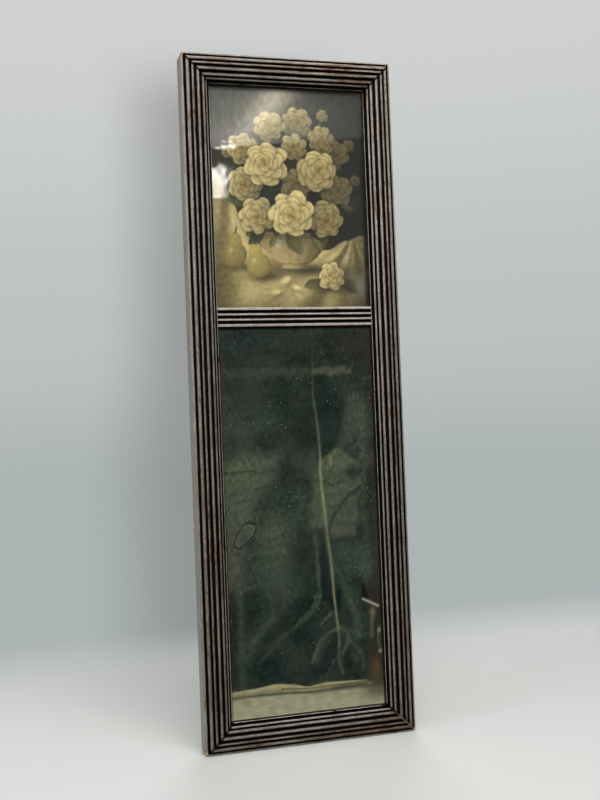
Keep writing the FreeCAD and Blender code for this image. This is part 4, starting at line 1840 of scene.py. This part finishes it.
    def ledge_and_hem(self) -> None:
        """Paint the pale ledge at the foot and the rolled wavy hem of the cloth that lies on it."""
        x, z = self.x, self.z
        wave = 2 * bell((x + 27) / 11) - 1.4 * soft_step((x + 12) / 14)
        wave -= 1.3 * bell((x + 1) / 9) + 0.7 * soft_step((-48 - x) / 10)
        top = 45.4 + wave + 0.6 * bell((x - 14) / 12) - 0.9 * soft_step((x - 26) / 30)
        foot = 39.7 - 1.9 * bell((x - 2) / 26) - 0.6 * soft_step((x - 10) / 40)
        foot += 0.5 * bell((x + 15) / 9) - 0.6 * soft_step((-48 - x) / 10)
        streaks = rough(np.column_stack([x * 0.25, z]), 3, self.draw)
        level = 0.5 + 0.16 * self.rough(9) + 0.10 * streaks + 0.3 * soft_step((40 - z) / 18)
        level -= 1.7 * soft_step((x - 38) / 20) * soft_step((z - 26) / 12)
        self.lay(soft_step((foot + 1 - z) / 0.8), self.between(self.ledge_dull, self.ledge, level))
        corner = soft_step((x - 36) / 22) * soft_step((z - 22) / 14) * (z < foot + 1)
        self.lay(0.62 * corner, self.ledge_end)
        depth = (top - z) / np.maximum(top - foot, 0.1)
        round_tone = 1 - 0.95 * np.clip(depth - 0.16, 0, 1) ** 1.1 + 0.06 * self.rough(7)
        inside = soft_step((top - z) / 0.7) * soft_step((z - foot) / 0.8)
        end = 1 - soft_step((x - 46.5) / 2.5)
        self.lay(inside * end, self.between(self.hem_dull, self.hem, round_tone))
        crease = ((-22, 42.6), (0, 41), (20, 41.3), (47, 41.9))
        self.darken(self.stroke(crease, 0.55) * end, 0.50)
        self.lay(0.5 * self.stroke(((-20, 41.4), (4, 40), (24, 40.6)), 0.6) * end, self.hem)
        under = bell((z - foot) / (0.8 + 1.2 * soft_step((x - 4) / 26)))
        self.lay(0.85 * under, self.hem_shade)
        self.lay(0.85 * self.spot(56, 45, 6.5, 7), self.ledge_end)
        self.lay(0.80 * self.spot(50, 40.3, 1.4, 1.2), self.ledge)


@dataclass
class GlassSheen:
    """How bright the room is that the picture glass reflects.

    Places are millimetres on the glass as the camera sees them, and one is a white sheet's light.
    """

    x: np.ndarray
    z: np.ndarray
    seed: int = 3
    edge_left: float = 464.0
    edge_slope: float = 0.105
    streak_rise: float = 50.0
    lip_shadow: float = 513.5
    lip_fade: float = 5.0
    warm: Triple = (1.0, 0.890, 0.62)
    cool: Triple = (1.0, 0.975, 0.90)
    bulbs: tuple[tuple[float, float, float, float, float], ...] = (
        (12.0, -52.0, 465.2, 2.4, 1.5),
        (12.0, -45.4, 465.8, 2.5, 1.5),
        (8.0, -57.0, 464.4, 2.2, 0.8),
        (6.0, -51.8, 469.6, 1.8, 0.7),
        (6.0, -46.6, 469.8, 1.8, 0.7),
    )

    def lobe(self, x: float, z: float, half_x: float, half_z: float, lean: float = 0.0) -> np.ndarray:
        """Make a soft lobe of light.

        Args:
            x: Its middle.
            z: Its middle.
            half_x: Half of its length.
            half_z: Half of its width.
            lean: How far it is raised from level, in degrees.

        Returns:
            One value for each place.
        """
        cos, sin = math.cos(math.radians(lean)), math.sin(math.radians(lean))
        along = (self.x - x) * cos + (self.z - z) * sin
        across = (self.z - z) * cos - (self.x - x) * sin
        return np.exp(-((along / half_x) ** 2) - (across / half_z) ** 2)

    def glow(self) -> np.ndarray:
        """Add up the sheen.

        Returns:
            The light, one row of four for each place.
        """
        draw = np.random.default_rng(self.seed)
        places = np.column_stack([self.x, self.z])
        broad = rough(places, 7.0, draw)
        brushed = rough(places @ np.array([[0.5, 0.0], [0.0, 1.0]]), 2.2, draw)
        edge = self.edge_left + self.edge_slope * (self.x + 62.0)
        above = soft_step((self.z - edge) / 1.6 + 0.5) * (1 + 0.07 * broad + 0.08 * brushed)
        above *= soft_step((self.lip_shadow - self.z) / self.lip_fade)
        streak = 4.1 * self.lobe(-12.0, 503.0, 25.0, 11.0, self.streak_rise) * above
        haze = 1.6 * self.lobe(-32.0, 481.0, 16.0, 8.5, self.streak_rise) + 0.3
        haze += 1.1 * self.lobe(-32.0, 490.0, 52.0, 40.0) + 1.0 * self.lobe(-52.0, 472.0, 20.0, 12.0)
        return self.rows(streak, self.warm) + self.rows(haze * above + self.window(broad), self.cool)

    def window(self, broad: np.ndarray) -> np.ndarray:
        """Light the window at the left and the small lamps above it.

        Args:
            broad: Smooth random values that make its edges uneven.

        Returns:
            One value for each place.
        """
        top = soft_step((454.5 + 1.2 * broad - self.z) / 12.0)
        foot = soft_step((self.z - 424.5) / 1.6)
        side = soft_step((-47.0 + 0.9 * broad + 0.12 * (self.z - 440.0) - self.x) / 7.0)
        fade = 0.62 + 0.38 * soft_step((self.z - 432.0) / 12.0)
        light = 0.06 + 10.9 * top * foot * side * fade * (1 + 0.05 * broad)
        for power, *shape in self.bulbs:
            light += power * self.lobe(*shape)
        return light + 1.1 * self.lobe(55.0, 357.0, 4.0, 8.0)

    def rows(self, light: np.ndarray, tint: Triple) -> np.ndarray:
        """Return tinted light as rows of four."""
        return light[:, None] * np.array((*tint, 1.0))


# The picture and the mirror


@dataclass
class PicturePanel(Assembly):
    """The glazed print: glass, printed sheet, card and board."""

    columns: int = 246
    rows: int = 340
    glass_gap: float = 0.00005
    board_edge: float = 0.00025

    def build(self) -> None:
        """Build the sheet and finish the whole stack."""
        self.sheet()
        self.keep("picture_glass", PictureGlass().build())
        self.keep("picture_card", OLD_CARD.build())
        wood = BoardWood("picture_board_wood").build()
        self.rounded("picture_backing_board", "picture_board", "board_wood", wood, self.board_edge)

    def sheet(self) -> None:
        """Model the printed sheet as a fine grid with a back, and paint it."""
        low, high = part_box("picture_print")
        middle = (low + high) / 2
        sheet = grid("printed_sheet", self.columns, self.rows, high.x - low.x, high.z - low.z)
        bpy.ops.object.mode_set(mode="EDIT")
        bpy.ops.mesh.select_all(action="DESELECT")
        bpy.ops.mesh.select_non_manifold()
        depth = high.y - low.y - self.glass_gap
        bpy.ops.mesh.extrude_region_move(TRANSFORM_OT_translate={"value": (0, depth, 0)})
        bpy.ops.mesh.edge_face_add()
        bpy.ops.object.mode_set(mode="OBJECT")
        points = corners_of(sheet)
        store_colours(sheet, "ink", StillLife(points[:, 0] / MM, points[:, 2] / MM).paint())
        move_points(sheet, points + np.array((middle.x, low.y + self.glass_gap, middle.z)))
        dress(sheet, PrintPaper().build())
        settle(sheet, FRAME_BODY, "picture_print")


@dataclass
class MirrorPanel(Assembly):
    """The mirror plate with its packing paper and board."""

    board_edge: float = 0.00025
    ring_shift: float = 37.0

    def build(self) -> None:
        """Finish the stack."""
        low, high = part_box("mirror_plate")
        self.keep("mirror_plate", AgedSilvering(high.x / MM, low.z / MM, high.z / MM).build())
        self.keep("mirror_packing_paper", OLD_PAPER.build())
        wood = BoardWood("mirror_board_wood", self.ring_shift).build()
        self.rounded("mirror_backing_board", "mirror_board", "board_wood", wood, self.board_edge)


@dataclass
class Fixings(Assembly):
    """The cut brads and nails."""

    edge: float = 0.00012

    def build(self) -> None:
        """Soften every nail's edges and rust it."""
        iron = RUSTY_IRON.build()
        for name in self.nodes:
            if "brads" in name or "nails" in name:
                self.rounded(name, f"{name}_cut", "nail_steel", iron, self.edge, 1)


@dataclass
class RingHanger(Assembly):
    """The brass plate, its screws and the ring that turns in its eye."""

    edge: float = 0.00015
    ring_angle: float = 60.0

    def build(self) -> None:
        """Round the plate and screws, and finish all in old brass."""
        brass, screws = OLD_BRASS.build(), SCREW_BRASS.build()
        self.rounded("hanger_plate", "hanger_plate_brass", "hanger_brass", brass, self.edge)
        self.rounded("hanger_screws", "hanger_screws_brass", "screw_brass", screws, self.edge)
        ring = merged_copy(self.nodes["hanger_ring"], "hanger_ring_brass")
        smooth(ring, self.ring_angle)
        dress(ring, brass)
        settle(ring, RING_BODY, "hanger_ring")


# The stage


@dataclass(frozen=True)
class Lamp:
    """One square lamp, with its side in metres and its power in watts."""

    name: str
    place: Triple
    size: float
    power: float
    tint: Colour

    def hang(self, aim: Vector) -> None:
        """Hang the lamp.

        Args:
            aim: The place that it points at.
        """
        data = bpy.data.lights.new(self.name, "AREA")
        data.shape = "SQUARE"
        data.size = self.size
        data.energy = self.power
        data.color = self.tint
        lamp = bpy.data.objects.new(self.name, data)
        lamp.location = self.place
        lamp.rotation_mode = "QUATERNION"
        lamp.rotation_quaternion = (aim - Vector(self.place)).to_track_quat("-Z", "Y")
        bpy.context.scene.collection.objects.link(lamp)


@dataclass
class Studio:
    """Floor, soft lamps, pale surroundings, what the glass reflects, and the camera.

    Angles are degrees.
    """

    middle: Vector
    silver_tint: Colour
    camera_place: Triple = (-0.2058, -0.7594, 0.2519)
    camera_turn: float = 15.26
    camera_tilt: float = 1.086
    camera_roll: float = 2.22
    lens: float = 45.0
    sensor: float = 36.0
    lamps: tuple[Lamp, ...] = (
        Lamp("key", (0.0, -0.90, 1.40), 1.0, 22.0, (1.0, 0.99, 0.97)),
        Lamp("left", (-1.2, -0.5, 0.55), 0.8, 8.0, (0.97, 0.99, 1.0)),
        Lamp("right", (1.1, -1.2, 0.7), 0.8, 3.0, (0.97, 0.99, 1.0)),
        Lamp("back", (0.5, 1.5, 1.2), 0.9, 16.0, (1.0, 0.99, 0.98)),
    )
    ambient: float = 0.16
    ambient_tint: Colour = (0.95, 0.98, 1.0)
    floor_radius: float = 1.6
    floor_sides: int = 96
    floor_tint: Colour = (0.610, 0.625, 0.610)
    floor_half: float = 0.45
    floor_fade: Point = (0.22, 0.50)
    cloth_front: float = -0.175
    cloth_top: float = 0.352
    cloth_middle: float = 0.055
    cloth_half: float = 0.46
    cloth_fine: float = 0.22
    cloth_cells: tuple[int, int] = (480, 540)
    ledge_lift: float = 0.0015
    sheen_place: Triple = (0.165, -0.62, 0.575)
    sheen_size: Point = (0.34, 0.42)
    sheen_cells: tuple[int, int] = (400, 460)
    dim_turn: float = 11.8
    wall_top: Colour = (0.635, 0.650, 0.640)
    wall_middle: Colour = (0.500, 0.535, 0.525)
    wall_foot: Colour = (0.412, 0.458, 0.450)
    wall_shadow: Colour = (0.04, 0.04, 0.035)

    def build(self) -> None:
        """Set up the whole stage."""
        self.camera()
        self.surroundings()
        self.floor()
        for lamp in self.lamps:
            lamp.hang(self.middle)
        self.reflected_room()
        self.reflected_sheen()
        bpy.context.scene.view_settings.view_transform = "Standard"

    def camera(self) -> None:
        """Stand the camera where the photograph was taken."""
        data = bpy.data.cameras.new("camera")
        data.lens = self.lens
        data.sensor_width = self.sensor
        camera = bpy.data.objects.new("camera", data)
        turn_left = math.radians(-self.camera_turn)
        level = Euler((math.radians(90 + self.camera_tilt), 0, turn_left)).to_quaternion()
        roll = Euler((0, 0, math.radians(-self.camera_roll))).to_quaternion()
        camera.rotation_mode = "QUATERNION"
        camera.rotation_quaternion = level @ roll
        camera.location = self.camera_place
        bpy.context.scene.collection.objects.link(camera)
        bpy.context.scene.camera = camera

    def surroundings(self) -> None:
        """Give the world a pale shaded wall for sight and gloss, and a plain soft light."""
        world = bpy.data.worlds.new("studio")
        bpy.context.scene.world = world
        graph = Graph(world)
        x, y, up = graph.parts(graph.output("ShaderNodeTexCoord", "Generated"))
        wall = graph.blend(up.rise(0.06, 0.42), self.wall_middle, self.wall_top)
        wall = graph.blend(up.rise(0.09, -0.07), wall, self.wall_foot)
        beside_floor = 1.0 - up.rise(0.12, -0.05, 0.16)
        turned = graph.math("ARCTAN2", x, y) * math.degrees(1.0)
        off = abs(turned - self.dim_turn) * beside_floor
        shadow = off.rise(8.0, 2.4, 0.42) * up.rise(0.365, 0.29) * beside_floor
        wall = graph.blend(shadow, wall, self.wall_shadow)
        seen = graph.make("ShaderNodeBackground", color=wall, strength=1.0)
        light = graph.make("ShaderNodeBackground", color=self.ambient_tint, strength=self.ambient)
        path = graph.add("ShaderNodeLightPath").outputs
        rays = ("Is Camera Ray", "Is Glossy Ray", "Is Transmission Ray")
        eye = graph.most(*(Wire(graph, path[ray]) for ray in rays))
        output = graph.add("ShaderNodeOutputWorld")
        graph.feed(output.inputs["Surface"], graph.mix_shaders(eye, light, seen))

    def floor(self) -> None:
        """Lay a pale floor that fades into the surroundings."""
        bpy.ops.object.select_all(action="DESELECT")
        bpy.ops.mesh.primitive_circle_add(
            vertices=self.floor_sides, radius=self.floor_radius, fill_type="NGON", location=(0, 0, 0)
        )
        floor = bpy.context.object
        floor.name = "floor"
        graph = Graph.named("pale_floor")
        x, y, _ = graph.parts(graph.output("ShaderNodeTexCoord", "Object"))
        beyond = graph.math("MAXIMUM", abs(x) - self.floor_half, 0.0)
        reach = graph.math("SQRT", beyond * beyond + y * y)
        clear = graph.make("ShaderNodeBsdfTransparent", color=(1.0, 1.0, 1.0))
        plain = graph.make("ShaderNodeBsdfDiffuse", color=self.floor_tint)
        dress(floor, graph.done(graph.mix_shaders(reach.rise(*self.floor_fade), plain, clear)))
        LOG.info("%s lies under the part", floor.name)

    def on_glass(self, points: np.ndarray) -> tuple[np.ndarray, np.ndarray]:
        """Find where the camera sees reflected places on the upright glass at the part's middle.

        Args:
            points: Rows of three before the part.

        Returns:
            How far right and how high each is seen, in millimetres.
        """
        eye_x, eye_y, eye_z = self.camera_place
        scale = 1 + points[:, 1] / eye_y
        across = eye_x + (points[:, 0] - eye_x) / scale
        height = eye_z + (points[:, 2] - eye_z) / scale
        return across / MM, height / MM

    def reflected_room(self) -> None:
        """Hang the dark cloth over the pale ledge that the mirror plate shows."""
        room = grid("reflected_room", *self.cloth_cells, 2.0, 1.0)
        points = corners_of(room)
        share = points[:, 0]
        coarse = self.cloth_half - self.cloth_fine
        points[:, 0] = self.cloth_middle + self.cloth_fine * share + coarse * share**3
        along = (points[:, 2] + 0.5) * (self.cloth_top - self.cloth_front)
        points[:, 1] = np.maximum(-along, self.cloth_front)
        points[:, 2] = self.ledge_lift + np.maximum(along + self.cloth_front, 0.0)
        move_points(room, points)
        light = ReflectedRoom(*self.on_glass(points)).paint()
        self.glow(room, light / np.array((*self.silver_tint, 1.0)))

    def reflected_sheen(self) -> None:
        """Hang the card whose sheen lies on the picture glass."""
        card = grid("reflected_sheen", *self.sheen_cells, *self.sheen_size)
        points = corners_of(card) + np.array(self.sheen_place)
        move_points(card, points)
        self.glow(card, GlassSheen(*self.on_glass(points)).glow())

    def glow(self, piece: bpy.types.Object, light: np.ndarray) -> None:
        """Make a stage piece glow in reflections alone, without light or shadow on the part.

        Args:
            piece: The piece.
            light: Its light, one row of four for each corner.
        """
        store_colours(piece, "light", light)
        graph = Graph.named(piece.name)
        graph.owner.cycles.emission_sampling = "NONE"
        shown = graph.attribute("light", "Color")
        dress(piece, graph.done(graph.make("ShaderNodeEmission", color=shown, strength=1.0)))
        for use in ("camera", "diffuse", "transmission", "volume_scatter", "shadow"):
            setattr(piece, f"visible_{use}", False)
        LOG.info("%s shows in reflections alone", piece.name)


def plain(corners: Iterable[Vector]) -> list[list[float]]:
    """Return a box's corners as plain lists."""
    return [list(corner) for corner in corners]


def main() -> None:
    """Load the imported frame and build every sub-assembly around it."""
    logging.basicConfig(level=logging.INFO, format="%(relativeCreated)7.0f ms %(message)s")
    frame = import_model()
    nodes = frame["nodes"]
    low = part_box("stile_left")[0]
    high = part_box("stile_right")[1]
    ReededFrame(nodes, low, high).build()
    PicturePanel(nodes).build()
    MirrorPanel(nodes).build()
    Fixings(nodes).build()
    RingHanger(nodes).build()
    Studio((low + high) / 2, AgedSilvering.tint).build()


if __name__ == "__main__":
    main()
